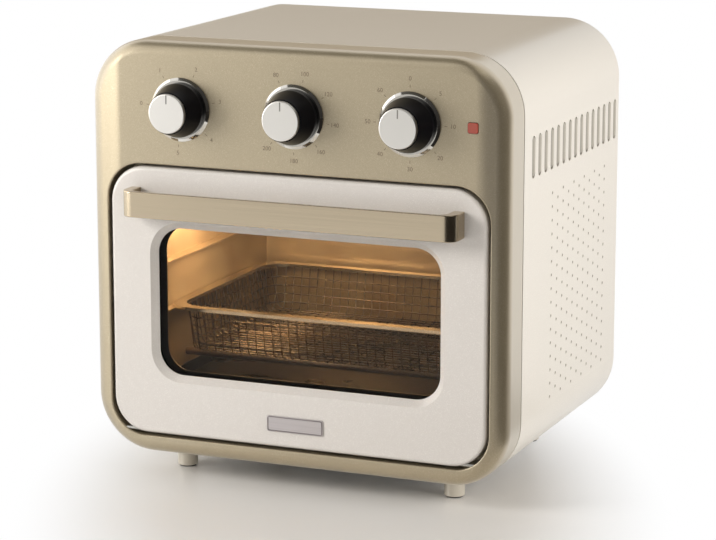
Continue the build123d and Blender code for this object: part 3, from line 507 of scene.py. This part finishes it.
def paintRimHighlight(material):
    # painted highlight: the outermost rounding takes a pale, less metallic colour
    tree = material.node_tree
    inner, outer = frameLook["rimHighlightReach"]
    rim = mapRange(tree, frameEdge(tree), outer, inner, kind="SMOOTHSTEP")
    blendBase(tree, rim, frameLook["rimHighlightColor"])
    metallic = mapRange(tree, rim, 0.0, 1.0, frameLook["metallic"], frameLook["rimHighlightMetallic"])
    tree.links.new(metallic, tree.nodes["Principled BSDF"].inputs["Metallic"])


shellPaint = paintedMaterial("shellPaint", shellLook)
paintVentShade(shellPaint)
rearPaint = paintedMaterial("rearPaint", shellLook)
framePaint = paintedMaterial("framePaint", frameLook)
crownEdges(framePaint)
paintRimHighlight(framePaint)
doorPaint = paintedMaterial("doorPaint", doorLook)
carrierSteel = brushedMaterial(
    "carrierSteel", srgb(70, 64, 56), frequency=(300, 300, 300), roughness=0.45, contrast=0.2
)
zincSteel = brushedMaterial(
    "zincSteel", srgb(178, 176, 170), frequency=(60, 900, 900), roughness=0.34, contrast=0.25
)
linerSteel = brushedMaterial(
    "linerSteel", srgb(182, 168, 146), frequency=(40, 700, 700), roughness=0.4, contrast=0.15,
    metallic=0.5, stain=0.4,
)
heaterSteel = brushedMaterial(
    "heaterSteel", srgb(120, 112, 104), frequency=(500, 500, 500), roughness=0.5, contrast=0.3, stain=0.6
)
motorSteel = brushedMaterial(
    "motorSteel", srgb(96, 96, 98), frequency=(20, 20, 2000), roughness=0.45, contrast=0.5
)
basketSteel = brushedMaterial(
    "basketSteel", srgb(112, 104, 93), frequency=(80, 80, 80), roughness=0.28, contrast=0.15, stain=0.3
)
rimSteel = brushedMaterial(
    "rimSteel", srgb(228, 222, 208), frequency=(80, 80, 80), roughness=0.2, contrast=0.1
)
handleMetal = brushedMaterial(
    "handleMetal", srgb(196, 181, 156), frequency=(8, 1400, 1400), roughness=0.24, contrast=0.16, bump=0.06
)
badgeMetal = brushedMaterial(
    "badgeMetal", srgb(196, 189, 188), frequency=(20, 1600, 1600), roughness=0.34, contrast=0.3
)
chrome = plainMaterial("chrome", srgb(226, 222, 214), roughness=0.07, toneShift=0.03, metallic=1.0, bump=0.02)
blackPlastic = plainMaterial(
    "blackPlastic", srgb(9, 9, 13), roughness=0.3, toneShift=0.2, bump=0.04, specular=0.18
)
darkPlastic = plainMaterial("darkPlastic", srgb(34, 34, 36), roughness=0.5, toneShift=0.2, bump=0.2)
footPlastic = plainMaterial("footPlastic", srgb(208, 201, 187), roughness=0.3, toneShift=0.05, metallic=0.2)
rubber = plainMaterial("rubber", srgb(38, 37, 36), roughness=0.8, toneShift=0.25, bump=0.4)
silicone = plainMaterial("silicone", srgb(96, 92, 88), roughness=0.6, toneShift=0.15, bump=0.2)
ceramic = plainMaterial("ceramic", srgb(226, 220, 208), roughness=0.55, toneShift=0.06, bump=0.2)
blanket = plainMaterial(
    "blanket", srgb(214, 204, 176), roughness=0.95, toneShift=0.25, grainScale=350.0, bump=0.8
)
trayEnamel = plainMaterial(
    "trayEnamel", srgb(30, 29, 29), roughness=0.28, toneShift=0.2, grainScale=1600.0, bump=0.25, coat=0.2
)
lensRed = plainMaterial("lensRed", srgb(158, 74, 60), roughness=0.2, toneShift=0.1, bump=0.04, coat=0.4)
windowGlass = glassMaterial("windowGlass", srgb(238, 230, 220), roughness=0.01)
lampGlass = glassMaterial("lampGlass", srgb(250, 238, 214), roughness=0.12)
inkBrown = plainMaterial("inkBrown", srgb(112, 99, 80), roughness=0.6, toneShift=0.05)
borderMetal = brushedMaterial(
    "borderMetal", srgb(150, 143, 142), frequency=(60, 60, 60), roughness=0.3, contrast=0.1
)
pointerGrey = plainMaterial("pointerGrey", srgb(118, 115, 110), roughness=0.5, toneShift=0.05)
# painted shade: the pit in the middle of each dimple takes a darker colour
pitShadePaint = plainMaterial("pitShadePaint", srgb(138, 129, 114), roughness=0.6, toneShift=0.1)

paint(shellPaint, "outer_shell")
paint(rearPaint, "rear_cover")
paint(framePaint, "front_frame")
paint(doorPaint, "door_frame")
paint(carrierSteel, "front_carrier", "door_magnets")
paint(
    zincSteel, "base_plate", "rear_screws", "foot_screws", "motor_bracket", "control_bracket", "thermostat",
    "hinge_pins", "inner_door_panel", "door_screws", "handle_screws", "fan_shaft", "convection_fan",
    "function_shaft", "temperature_shaft", "timer_shaft",
)
paint(linerSteel, "cavity_liner", "rack_guides", "fan_shroud", "heater_guard")
paint(heaterSteel, "upper_heater", "lower_heaters")
paint(motorSteel, "fan_motor")
paint(basketSteel, "basket_tub")
paint(rimSteel, "basket_rim")
paint(handleMetal, "door_handle")
paint(badgeMetal, "badge_plate")
paint(chrome, "dial_rings")
paint(blackPlastic, "function_knob", "temperature_knob", "timer_knob")
paint(darkPlastic, "cord_gland", "function_switch", "timer_mechanism", "indicator_holder", "cooling_fan")
paint(footPlastic, "feet")
paint(rubber, "foot_pads")
paint(silicone, "door_gasket")
paint(ceramic, "heater_bushes", "cavity_lamp")
paint(blanket, "insulation")
paint(trayEnamel, "drip_tray")
paint(lensRed, "indicator_lens")
paint(windowGlass, "outer_glass", "inner_glass")
paint(lampGlass, "lamp_cover")

dials = ("function", "temperature", "timer")
dialCentres = {}
for dial in dials:
    low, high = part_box(dial + "_knob_cap")
    dialCentres[dial] = Vector(((low.x + high.x) / 2, high.y, (low.z + high.z) / 2))
    capFinish = turnedMaterial(
        dial + "CapFinish", srgb(230, 226, 219), roughness=0.34, centre=dialCentres[dial]
    )
    paint(capFinish, dial + "_knob_cap")
print("stage 2: finishes made")


# Mesh helpers

def meshPiece(name, mesh, material, body):
    piece = addObject(name, mesh)
    mesh.materials.append(material)
    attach(piece, body)


def finishMesh(name, work, smooth=False):
    bmesh.ops.recalc_face_normals(work, faces=work.faces)
    mesh = bpy.data.meshes.new(name)
    work.to_mesh(mesh)
    work.free()
    if smooth:
        mesh.shade_smooth()
    return mesh


def evaluatedMesh(holder):
    return bpy.data.meshes.new_from_object(holder.evaluated_get(bpy.context.evaluated_depsgraph_get()))


def addBox(work, matrix, size):
    bmesh.ops.create_cube(work, size=1.0, matrix=matrix @ Matrix.Diagonal((*size, 1)))


def circlePoints(radius, sides):
    turns = [2 * pi * step / sides for step in range(sides)]
    return [(radius * cos(turn), radius * sin(turn)) for turn in turns]


def roundedLoop(middle, half, corner, steps):
    # a closed loop of pairs round a rectangle with rounded corners
    points = []
    for turn, (signX, signY) in enumerate(((1, 1), (-1, 1), (-1, -1), (1, -1))):
        for step in range(steps + 1):
            around = pi / 2 * (turn + step / steps)
            x = middle[0] + signX * (half[0] - corner) + corner * cos(around)
            y = middle[1] + signY * (half[1] - corner) + corner * sin(around)
            points.append((x, y))
    return points + points[:1]


def bridge(work, lower, upper):
    # quads between two loops that have as many points
    for step in range(len(lower)):
        after = (step + 1) % len(lower)
        work.faces.new((lower[step], lower[after], upper[after], upper[step]))


# Geometry Nodes helpers: a tree is built once, run on a plain base mesh and turned into a mesh again

def startTree(name, inputs):
    tree = bpy.data.node_groups.new(name, "GeometryNodeTree")
    tree.is_modifier = True
    tree.interface.new_socket(name="Geometry", in_out="INPUT", socket_type="NodeSocketGeometry")
    for label, kind, value in inputs:
        socket = tree.interface.new_socket(name=label, in_out="INPUT", socket_type="NodeSocket" + kind)
        if value is not None:
            socket.default_value = value
    tree.interface.new_socket(name="Geometry", in_out="OUTPUT", socket_type="NodeSocketGeometry")
    return tree, tree.nodes.new("NodeGroupInput"), tree.nodes.new("NodeGroupOutput")


def endTree(tree, source, result, geometry):
    shaded = addNode(tree, "GeometryNodeSetShadeSmooth", {"Geometry": geometry, "Shade Smooth": True})
    real = addNode(tree, "GeometryNodeRealizeInstances", {"Geometry": shaded.outputs[0]})
    finished = addNode(
        tree, "GeometryNodeSetMaterial", {"Geometry": real.outputs[0], "Material": source.outputs["Finish"]}
    )
    tree.links.new(finished.outputs[0], result.inputs[0])


def runTree(name, tree, baseMesh, body, slotName, **values):
    piece = addObject(name, baseMesh)
    modifier = piece.modifiers.new("tree", "NODES")
    modifier.node_group = tree
    for item in tree.interface.items_tree:
        key = item.name.replace(" ", "_")
        if item.in_out == "INPUT" and key in values:
            modifier[item.identifier] = values[key]
    mesh = evaluatedMesh(piece)
    piece.modifiers.remove(modifier)
    piece.data = mesh
    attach(piece, body)
    return piece


def makeWireTree():
    tree, source, result = startTree(
        "wireAlongPaths",
        [("Wire Radius", "Float", 0.001), ("Wire Sides", "Int", 8), ("Finish", "Material", None)],
    )
    paths = addNode(tree, "GeometryNodeMeshToCurve", {"Mesh": source.outputs["Geometry"]})
    ring = addNode(
        tree,
        "GeometryNodeCurvePrimitiveCircle",
        {"Radius": source.outputs["Wire Radius"], "Resolution": source.outputs["Wire Sides"]},
    )
    wire = addNode(
        tree,
        "GeometryNodeCurveToMesh",
        {"Curve": paths.outputs[0], "Profile Curve": ring.outputs[0], "Fill Caps": True},
    )
    endTree(tree, source, result, wire.outputs[0])
    return tree


def makeUnitTree():
    # one unit at every point, turned and placed by the points' own turn attribute
    tree, source, result = startTree("unitAtPoints", [("Unit", "Object", None), ("Finish", "Material", None)])
    unit = addNode(tree, "GeometryNodeObjectInfo", {"Object": source.outputs["Unit"]})
    turn = addNode(tree, "GeometryNodeInputNamedAttribute", {"Name": "turn"}, data_type="FLOAT_VECTOR")
    rotation = addNode(tree, "FunctionNodeEulerToRotation", {"Euler": turn.outputs[0]})
    placed = addNode(
        tree,
        "GeometryNodeInstanceOnPoints",
        {
            "Points": source.outputs["Geometry"],
            "Instance": unit.outputs["Geometry"],
            "Rotation": rotation.outputs[0],
        },
    )
    endTree(tree, source, result, placed.outputs[0])
    return tree


wireTree = makeWireTree()
unitTree = makeUnitTree()


def pathMesh(name, paths):
    # each path is a list of points, closed where its last point repeats the first
    vertices = []
    edges = []
    for path in paths:
        first = len(vertices)
        closed = (Vector(path[0]) - Vector(path[-1])).length < samePlace
        points = path[:-1] if closed else path
        vertices.extend(points)
        last = first + len(points) - 1
        edges.extend((index, index + 1) for index in range(first, last))
        if closed:
            edges.append((last, first))
    mesh = bpy.data.meshes.new(name)
    mesh.from_pydata(vertices, edges, [])
    return mesh


def pointMesh(name, places, turns):
    mesh = bpy.data.meshes.new(name)
    mesh.from_pydata(places, [], [])
    attribute = mesh.attributes.new("turn", "FLOAT_VECTOR", "POINT")
    for item, turn in zip(attribute.data, turns):
        item.vector = turn
    return mesh


def unitObject(name, work, smooth=True):
    return addObject(name, finishMesh(name, work, smooth))


# Woven basket in place of the plain tub

basketWires = {
    "pitch": 7.2 * mm,
    "wireRadius": 0.55 * mm,
    "wireSides": 6,
    "ringPitch": 7.0 * mm,
    "ringInset": 3,
    "topCorner": 20 * mm,
    "floorCorner": 14 * mm,
    "floorInset": 6.0 * mm,
    "cornerSteps": 6,
    "margin": 2 * mm,
    "bend": 4.0 * mm,
    "bendMiddle": 0.3,
    "lean": 1.0 * mm,
}


def halfAcross(across, half, halfAlong, corner):
    # half length of a rounded rectangle's chord at a distance across from its middle
    past = abs(across) - (halfAlong - corner)
    if past <= 0:
        return half
    return half - corner + sqrt(max(corner ** 2 - past ** 2, 0))


def basketChord(across, half, halfAlong, lift, shape):
    # points of one wire from rim to rim: down a wall, over the floor and up again
    bottom = shape["low"].z + shape["radius"] + lift
    bend, middle = basketWires["bend"], basketWires["bendMiddle"]
    inset = basketWires["floorInset"]
    rim = halfAcross(across, half, halfAlong, basketWires["topCorner"]) - lift - shape["radius"]
    floor = halfAcross(across, half - inset, halfAlong - inset, basketWires["floorCorner"])
    floor -= lift + shape["radius"]
    side = [
        (rim, shape["high"].z),
        (floor + basketWires["lean"], bottom + bend),
        (floor - middle * bend, bottom + middle * bend),
        (floor - bend, bottom),
    ]
    return [(-reach, height) for reach, height in side] + side[::-1]


def basketRing(height, shape):
    # a wire round the walls, drawn in by ringInset wire radii
    share = (height - shape["low"].z) / (shape["high"].z - shape["low"].z)
    inset = basketWires["floorInset"] * (1 - share) + shape["radius"] * basketWires["ringInset"]
    corner = basketWires["floorCorner"] + (basketWires["topCorner"] - basketWires["floorCorner"]) * share
    half = (shape["half"].x - inset, shape["half"].y - inset)
    loop = roundedLoop(shape["middle"], half, corner, basketWires["cornerSteps"])
    return [(x, y, height) for x, y in loop]


def makeBasket():
    low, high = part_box("basket_tub")
    half = (high - low) / 2
    middle = (high + low) / 2
    shape = {"low": low, "high": high, "half": half, "middle": middle, "radius": basketWires["wireRadius"]}
    paths = []
    for axis, lift in ((0, 0.0), (1, 2 * basketWires["wireRadius"])):
        # the first wires lie side by side along X and the second, over them, along Y
        spread = half[axis] - basketWires["floorInset"] - basketWires["margin"]
        count = int(spread / basketWires["pitch"])
        for index in range(-count, count + 1):
            across = index * basketWires["pitch"]
            path = []
            for reach, height in basketChord(across, half[1 - axis], half[axis], lift, shape):
                x, y = (reach, across) if axis else (across, reach)
                path.append((middle.x + x, middle.y + y, height))
            paths.append(path)
    rings = int((high.z - low.z) / basketWires["ringPitch"])
    for index in range(1, rings):
        paths.append(basketRing(low.z + index * basketWires["ringPitch"], shape))
    basket = runTree(
        "woven_basket",
        wireTree,
        pathMesh("basketPaths", paths),
        "basket",
        "basket_steel",
        Wire_Radius=basketWires["wireRadius"],
        Wire_Sides=basketWires["wireSides"],
        Finish=basketSteel,
    )
    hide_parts("basket_tub")


makeBasket()
print("stage 3: basket woven")


# Pressed dimples on both sides of the shell

dimples = {
    "firstY": -26 * mm,
    "columnPitch": 12.9 * mm,
    "columns": 11,
    "rowPitch": 10.6 * mm,
    "lowest": 71 * mm,
    "rows": 16,
    "lipRadius": 1.75 * mm,
    "pitRadius": 1.1 * mm,
    "lipRise": 0.18 * mm,
    "sides": 12,
    # the profile, as shares of a radius and of the rise
    "shoulder": (0.86, 0.8),
    "pitEdge": 0.35,
    "pitSlope": (0.5, 0.2),
    "pitFloor": 0.15,
}


def ringProfile(work, profile, sides):
    # a turned shape round Z from (radius, height) pairs, which can end at a radius of zero
    rows = []
    for radius, height in profile:
        circle = circlePoints(radius, sides if radius else 1)
        rows.append([work.verts.new((x, y, height)) for x, y in circle])
    for lower, upper in zip(rows, rows[1:]):
        if len(upper) > 1:
            bridge(work, lower, upper)
            continue
        for step in range(sides):
            work.faces.new((lower[step], lower[(step + 1) % sides], upper[0]))


def dimplePlaces():
    places = []
    for column in range(dimples["columns"]):
        rows = dimples["rows"] - column % 2
        lift = dimples["rowPitch"] / 2 if column % 2 else 0
        for row in range(rows):
            y = dimples["firstY"] + column * dimples["columnPitch"]
            places.append((y, dimples["lowest"] + lift + row * dimples["rowPitch"]))
    return places


def makeDimples():
    low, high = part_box("outer_shell")
    outer, inner, rise = dimples["lipRadius"], dimples["pitRadius"], dimples["lipRise"]
    (shoulderOut, shoulderUp), (slopeOut, slopeUp) = dimples["shoulder"], dimples["pitSlope"]
    edge = (inner, rise * dimples["pitEdge"])
    lipProfile = [(outer, 0), (outer * shoulderOut, rise * shoulderUp), ((outer + inner) / 2, rise), edge]
    pitProfile = [edge, (inner * slopeOut, rise * slopeUp), (0, rise * dimples["pitFloor"])]
    places = []
    turns = []
    for face, turn in ((high.x, pi / 2), (low.x, -pi / 2)):
        for y, z in dimplePlaces():
            places.append((face, y, z))
            turns.append((0, turn, 0))
    # the lips take the shell paint, and the pits a darker colour as painted shade
    for name, profile, material in (
        ("shell_dimples", lipProfile, shellPaint), ("shell_pits", pitProfile, pitShadePaint),
    ):
        work = bmesh.new()
        ringProfile(work, profile, dimples["sides"])
        unit = unitObject(name + "Unit", work)
        base = pointMesh(name + "Points", places, turns)
        runTree(name, unitTree, base, "housing", "shell_paint", Unit=unit, Finish=material)
        bpy.data.objects.remove(unit)


makeDimples()
print("stage 4: shell dimpled")


# Screw heads with a cross recess, in place of the plain ones

screwHead = {
    # shares of the head's radius and height
    "domeShare": 0.72,
    "shoulder": (0.93, 0.78),
    "rimShare": 0.45,
    "slotHalf": 0.13,
    "slotLength": 0.50,
    "slotDepth": 0.55,
    "slotFloor": 0.8,
    "sides": 24,
}


def crossHead(radius, height):
    # a domed head round Z from z = 0 up, with the recess sunk into its flat middle
    work = bmesh.new()
    half = screwHead["slotHalf"] * radius
    arm = screwHead["slotLength"] * radius
    cross = []
    for turn in range(4):
        around = pi / 2 * turn
        for x, y in ((half, half), (half, arm), (-half, arm)):
            cross.append((x * cos(around) - y * sin(around), x * sin(around) + y * cos(around)))
    loop = [work.verts.new((x, y, height)) for x, y in cross]
    rows = []
    for share, level in (
        (screwHead["domeShare"], 1.0), screwHead["shoulder"], (1.0, screwHead["rimShare"]), (1.0, 0.0),
    ):
        circle = circlePoints(radius * share, screwHead["sides"])
        rows.append([work.verts.new((x, y, height * level)) for x, y in circle])
    edges = []
    for row in (loop, rows[0]):
        for index, vertex in enumerate(row):
            edges.append(work.edges.new((vertex, row[(index + 1) % len(row)])))
    bmesh.ops.triangle_fill(work, use_beauty=True, use_dissolve=False, edges=edges)
    share, level = screwHead["slotFloor"], 1 - screwHead["slotDepth"]
    floorLoop = [work.verts.new((x * share, y * share, height * level)) for x, y in cross]
    bridge(work, loop, floorLoop)
    work.faces.new(floorLoop)
    for upper, lower in zip(rows, rows[1:]):
        bridge(work, lower, upper)
    work.faces.new(rows[-1])
    return work


def islandBoxes(name):
    # lowest and highest corner of each separate solid in a CAD node
    work = bmesh.new()
    work.from_mesh(nodes[name].data)
    bmesh.ops.remove_doubles(work, verts=work.verts, dist=samePlace)
    seen = set()
    boxes = []
    for start in work.verts:
        if start.index in seen:
            continue
        stack = [start]
        seen.add(start.index)
        low = start.co.copy()
        high = start.co.copy()
        while stack:
            vertex = stack.pop()
            for axis in range(3):
                low[axis] = min(low[axis], vertex.co[axis])
                high[axis] = max(high[axis], vertex.co[axis])
            for edge in vertex.link_edges:
                other = edge.other_vert(vertex)
                if other.index not in seen:
                    seen.add(other.index)
                    stack.append(other)
        boxes.append((low, high))
    work.free()
    return boxes


rearHeads = {"radius": 3.3 * mm, "rise": 1.75 * mm, "turns": (10, 55, 31, 78, 20, 64, 43, 5)}


def makeRearHeads():
    # small domed heads that stand on the rear cover over the shanks of its screws
    places = []
    turns = []
    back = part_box("rear_cover")[1].y
    for index, (low, high) in enumerate(islandBoxes("rear_screws")):
        places.append(((low.x + high.x) / 2, back, (low.z + high.z) / 2))
        turns.append((-pi / 2, radians(rearHeads["turns"][index % len(rearHeads["turns"])]), 0))
    unit = unitObject("screwUnit", crossHead(rearHeads["radius"], rearHeads["rise"]), smooth=False)
    base = pointMesh("rearHeadPoints", places, turns)
    heads = runTree(
        "rear_screw_heads", unitTree, base, "housing", "plated_steel", Unit=unit, Finish=zincSteel
    )
    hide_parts("rear_screws")
    bpy.data.objects.remove(unit)


makeRearHeads()
print("stage 5: screw heads cut")


# Pointer line on each knob's cap

pointer = {
    "inner": 7.5 * mm,
    "outer": 14.0 * mm,
    "width": 0.9 * mm,
    "thickness": 0.12 * mm,
    "bevelShare": 0.7,
    "bevelProfile": 0.6,
}


def makePointers():
    length = pointer["outer"] - pointer["inner"]
    reach = (pointer["inner"] + pointer["outer"]) / 2
    size = (pointer["width"], 2 * pointer["thickness"], length)
    bevel = pointer["thickness"] * pointer["bevelShare"]
    for dial in dials:
        centre = dialCentres[dial]
        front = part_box(dial + "_knob_cap")[0].y
        work = bmesh.new()
        addBox(work, Matrix.Translation((centre.x, front, centre.z + reach)), size)
        bmesh.ops.bevel(
            work, geom=work.edges[:], offset=bevel, segments=2, profile=pointer["bevelProfile"]
        )
        name = dial + "_pointer"
        meshPiece(name, finishMesh(name, work), pointerGrey, dial + "_dial")


makePointers()
print("stage 6: pointers set")


# Raised border round the blank badge

badgeBorder = {"inset": 0.9 * mm, "wire": 0.45 * mm, "corner": 1.2 * mm, "steps": 4}


def makeBadgeBorder():
    low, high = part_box("badge_plate")
    half = (high - low) / 2
    middle = (high + low) / 2
    reach = (half.x - badgeBorder["inset"], half.z - badgeBorder["inset"])
    loop = roundedLoop((middle.x, middle.z), reach, badgeBorder["corner"], badgeBorder["steps"])
    runTree(
        "badge_border",
        wireTree,
        pathMesh("badgePath", [[(x, low.y, z) for x, z in loop]]),
        "door",
        "badge_metal",
        Wire_Radius=badgeBorder["wire"],
        Wire_Sides=8,
        Finish=borderMetal,
    )


makeBadgeBorder()
print("stage 7: badge edged")


# Printed scales round the dials: plain numbers and ticks

scales = {
    "radius": 33.5 * mm,
    "textHeight": 4.6 * mm,
    "textSteps": 3,
    "inkThickness": 0.05 * mm,
    "tickLength": 2.0 * mm,
    "tickWidth": 0.45 * mm,
    "tickRadius": 28.0 * mm,
    "function": [("0", -85), ("1", -31), ("2", 23), ("3", 77), ("4", 131), ("5", 185)],
    "temperature": [
        ("80", -25), ("100", 16), ("120", 57), ("140", 98), ("160", 139), ("180", 180), ("200", 221),
    ],
    "timer": [
        ("0", 0), ("5", 45), ("10", 90), ("20", 135), ("30", 180), ("40", 225), ("50", 270), ("60", 315),
    ],
}
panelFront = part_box("front_frame")[0].y


def textMesh(words, height):
    curve = bpy.data.curves.new("words", "FONT")
    curve.body = words
    curve.size = height
    curve.align_x = "CENTER"
    curve.align_y = "CENTER"
    curve.resolution_u = scales["textSteps"]
    curve.extrude = scales["inkThickness"]
    holder = addObject("words", curve)
    bpy.context.view_layer.update()
    mesh = evaluatedMesh(holder)
    bpy.data.objects.remove(holder)
    return mesh


def makeDialScale(dial):
    work = bmesh.new()
    centre = dialCentres[dial]
    base = Vector((centre.x, panelFront, centre.z))
    tickSize = (scales["tickWidth"], 2 * scales["inkThickness"], scales["tickLength"])
    for words, angle in scales[dial]:
        around = radians(angle)
        outward = Vector((sin(around), 0, cos(around)))
        mark = textMesh(words, scales["textHeight"])
        place = base + outward * scales["radius"]
        mark.transform(Matrix.Translation(place) @ Matrix.Rotation(pi / 2, 4, "X"))
        work.from_mesh(mark)
        bpy.data.meshes.remove(mark)
        place = base + outward * scales["tickRadius"]
        addBox(work, Matrix.Translation(place) @ Matrix.Rotation(around, 4, "Y"), tickSize)
    mesh = finishMesh(dial + "_scale", work)
    meshPiece(dial + "_scale", mesh, inkBrown, "housing")


for dial in dials:
    makeDialScale(dial)
print("stage 8: dial scales printed")


# Stage: floor, sky, lamps and cards

studio = {
    "floorSize": 6.0,
    "floorColor": srgb(233, 232, 231),
    "floorRoughness": 0.3,
    "fadeCentre": (0.035, -0.115, 0.0),
    "fadeStretch": (1.0, 0.55, 1.0),
    "fadeStart": 0.12,
    "fadeEnd": 0.25,
    "skyHeights": (0.15, 0.75),
    "skySide": 0.66,
    "skyTop": 0.16,
    "sideColor": (1.0, 0.99, 0.97, 1.0),
    "topColor": (1.0, 0.86, 0.66, 1.0),
}


def seenRay(tree):
    # 1 for rays from the camera, mirrored or through glass, 0 for rays that gather light
    ray = tree.nodes.new("ShaderNodeLightPath")
    seen = calculate(tree, "MAXIMUM", ray.outputs["Is Camera Ray"], ray.outputs["Is Glossy Ray"])
    return calculate(tree, "MAXIMUM", seen, ray.outputs["Is Transmission Ray"])


def mixInto(tree, outKind, share, first, second):
    # a mix of two shaders goes to a new output of this kind
    mix = addNode(tree, "ShaderNodeMixShader", {0: share, 1: first.outputs[0], 2: second.outputs[0]})
    tree.links.new(mix.outputs[0], tree.nodes.new(outKind).inputs["Surface"])


def makeFloor():
    work = bmesh.new()
    bmesh.ops.create_grid(work, x_segments=1, y_segments=1, size=studio["floorSize"] / 2)
    floor = addObject("floor", finishMesh("floor", work))
    material = bpy.data.materials.new("floorFinish")
    material.use_nodes = True
    tree = material.node_tree
    tree.nodes.clear()
    offset = vectorMath(tree, "SUBTRACT", objectPlace(tree), studio["fadeCentre"])
    turned = addNode(
        tree, "ShaderNodeVectorRotate", {"Vector": offset, "Angle": -radians(cameraView["turn"])}
    )
    squeezed = vectorMath(tree, "MULTIPLY", turned.outputs[0], studio["fadeStretch"])
    distance = vectorMath(tree, "LENGTH", squeezed)
    fade = mapRange(tree, distance, studio["fadeStart"], studio["fadeEnd"], kind="SMOOTHSTEP")
    lit = addNode(
        tree,
        "ShaderNodeBsdfPrincipled",
        {"Base Color": studio["floorColor"], "Roughness": studio["floorRoughness"]},
    )
    plain = addNode(tree, "ShaderNodeEmission", {"Color": white, "Strength": 1.0})
    share = calculate(tree, "MULTIPLY", seenRay(tree), fade)
    mixInto(tree, "ShaderNodeOutputMaterial", share, lit, plain)
    floor.data.materials.append(material)


def makeWorld():
    world = bpy.data.worlds.new("studio")
    scene.world = world
    world.use_nodes = True
    tree = world.node_tree
    tree.nodes.clear()
    direction = tree.nodes.new("ShaderNodeTexCoord").outputs["Generated"]
    parts = addNode(tree, "ShaderNodeSeparateXYZ", {0: direction})
    height = mapRange(tree, parts.outputs[2], *studio["skyHeights"])
    strength = mapRange(tree, height, 0.0, 1.0, studio["skySide"], studio["skyTop"])
    color = blendColors(tree, height, studio["sideColor"], studio["topColor"])
    lighting = addNode(tree, "ShaderNodeBackground", {"Color": color, "Strength": strength})
    shown = addNode(tree, "ShaderNodeBackground", {"Color": white, "Strength": 1.0})
    mixInto(tree, "ShaderNodeOutputWorld", seenRay(tree), lighting, shown)


def addLight(name, kind, look, color):
    light = bpy.data.lights.new(name, kind)
    light.energy = look["watts"]
    light.color = color
    holder = addObject(name, light)
    holder.location = look["place"]
    return holder


lampColor = (1.0, 0.98, 0.95)
lamps = {
    "keyLeft": {
        "place": (-1.35, -1.25, 0.90), "target": (0, -0.1, 0.18), "size": (0.8, 0.8), "watts": 31,
    },
    "sideRight": {
        "place": (1.7, -0.35, 0.7), "target": (0.17, -0.1, 0.12), "size": (0.9, 1.2), "watts": 19,
    },
}


def makeLamps():
    for name, lamp in lamps.items():
        holder = addLight(name, "AREA", lamp, lampColor)
        holder.data.shape = "RECTANGLE"
        holder.data.size, holder.data.size_y = lamp["size"]
        aim = Vector(lamp["target"]) - Vector(lamp["place"])
        holder.rotation_euler = aim.to_track_quat("-Z", "Y").to_euler()
        holder.visible_glossy = False


# Cards seen only in reflections: nearly black flags on the right, a dark one above, and lighter cards
# on the left, in front and behind
nearBlack = (0.012, 0.010, 0.008)
cards = {
    "flagFront": {
        "place": (0.68, -1.27, 0.98), "target": (0.12, -0.12, 0.98), "size": (1.6, 2.0), "glow": nearBlack,
    },
    "flagSide": {
        "place": (1.45, -0.20, 0.75), "target": (0.15, -0.12, 0.75), "size": (1.75, 1.6), "glow": nearBlack,
    },
    "flagFloor": {
        "place": (0.95, -0.60, 0.003), "target": (0.95, -0.60, 1.0), "size": (1.4, 1.6), "glow": nearBlack,
    },
    "flagTop": {
        "place": (-0.25, -0.40, 1.60),
        "target": (-0.1, -0.12, 0.30),
        "size": (1.8, 1.0),
        "glow": (0.05, 0.045, 0.035),
    },
    "cardLeft": {
        "place": (-1.5, -0.20, 0.7), "target": (0.0, -0.2, 0.5), "size": (2.2, 1.5), "glow": (1.9, 1.9, 1.88),
    },
    "cardCorner": {
        "place": (-1.30, -1.00, 0.36),
        "target": (0.0, -0.12, 0.3),
        "size": (0.7, 0.6),
        "glow": (6.2, 6.2, 6.2),
    },
    "cardFront": {
        "place": (-0.27, -1.35, 0.4),
        "target": (0.05, -0.12, 0.4),
        "size": (0.84, 1.1),
        "glow": (0.54, 0.54, 0.53),
    },
    "cardBack": {
        "place": (-0.90, 1.60, 0.90),
        "target": (-0.5, 0.0, 0.60),
        "size": (1.6, 1.1),
        "glow": (0.40, 0.32, 0.22),
    },
}


def makeCards():
    for name, look in cards.items():
        material, tree, shader = startMaterial(
            name, Base_Color=(0, 0, 0, 1), Emission_Color=(*look["glow"], 1), Emission_Strength=1.0
        )
        # a card shows on the side that faces its target and is clear from behind
        facing = tree.nodes.new("ShaderNodeNewGeometry").outputs["Backfacing"]
        clear = tree.nodes.new("ShaderNodeBsdfTransparent")
        out = tree.nodes["Material Output"]
        mix = addNode(tree, "ShaderNodeMixShader", {0: facing, 1: shader.outputs[0], 2: clear.outputs[0]})
        tree.links.new(mix.outputs[0], out.inputs["Surface"])
        work = bmesh.new()
        # a square metre, stretched to the card's size
        bmesh.ops.create_grid(work, x_segments=1, y_segments=1, size=0.5)
        place = Vector(look["place"])
        turn = (Vector(look["target"]) - place).to_track_quat("Z", "Y")
        work.transform(Matrix.LocRotScale(place, turn, (*look["size"], 1)))
        # finishMesh isn't used here, since it can turn a lone plane over
        mesh = bpy.data.meshes.new(name)
        work.to_mesh(mesh)
        work.free()
        card = addObject(name, mesh)
        mesh.materials.append(material)
        card.visible_camera = False
        card.visible_diffuse = False
        card.visible_shadow = False
        card.visible_transmission = False


cavityGlow = {
    "color": (1.0, 0.76, 0.45),
    "radius": 0.02,
    "lamps": {
        "glowLeft": {"place": (-0.095, -0.035, 0.190), "watts": 0.72},
        "glowMiddle": {"place": (0.05, 0.03, 0.20), "watts": 0.06},
    },
}


def makeCavityGlow():
    for name, lamp in cavityGlow["lamps"].items():
        holder = addLight(name, "POINT", lamp, cavityGlow["color"])
        holder.data.shadow_soft_size = cavityGlow["radius"]
        holder.visible_camera = False
        holder.visible_transmission = False


makeFloor()
makeWorld()
makeLamps()
makeCards()
makeCavityGlow()
scene.view_settings.view_transform = "Standard"
print("stage 9: stage and lights set")
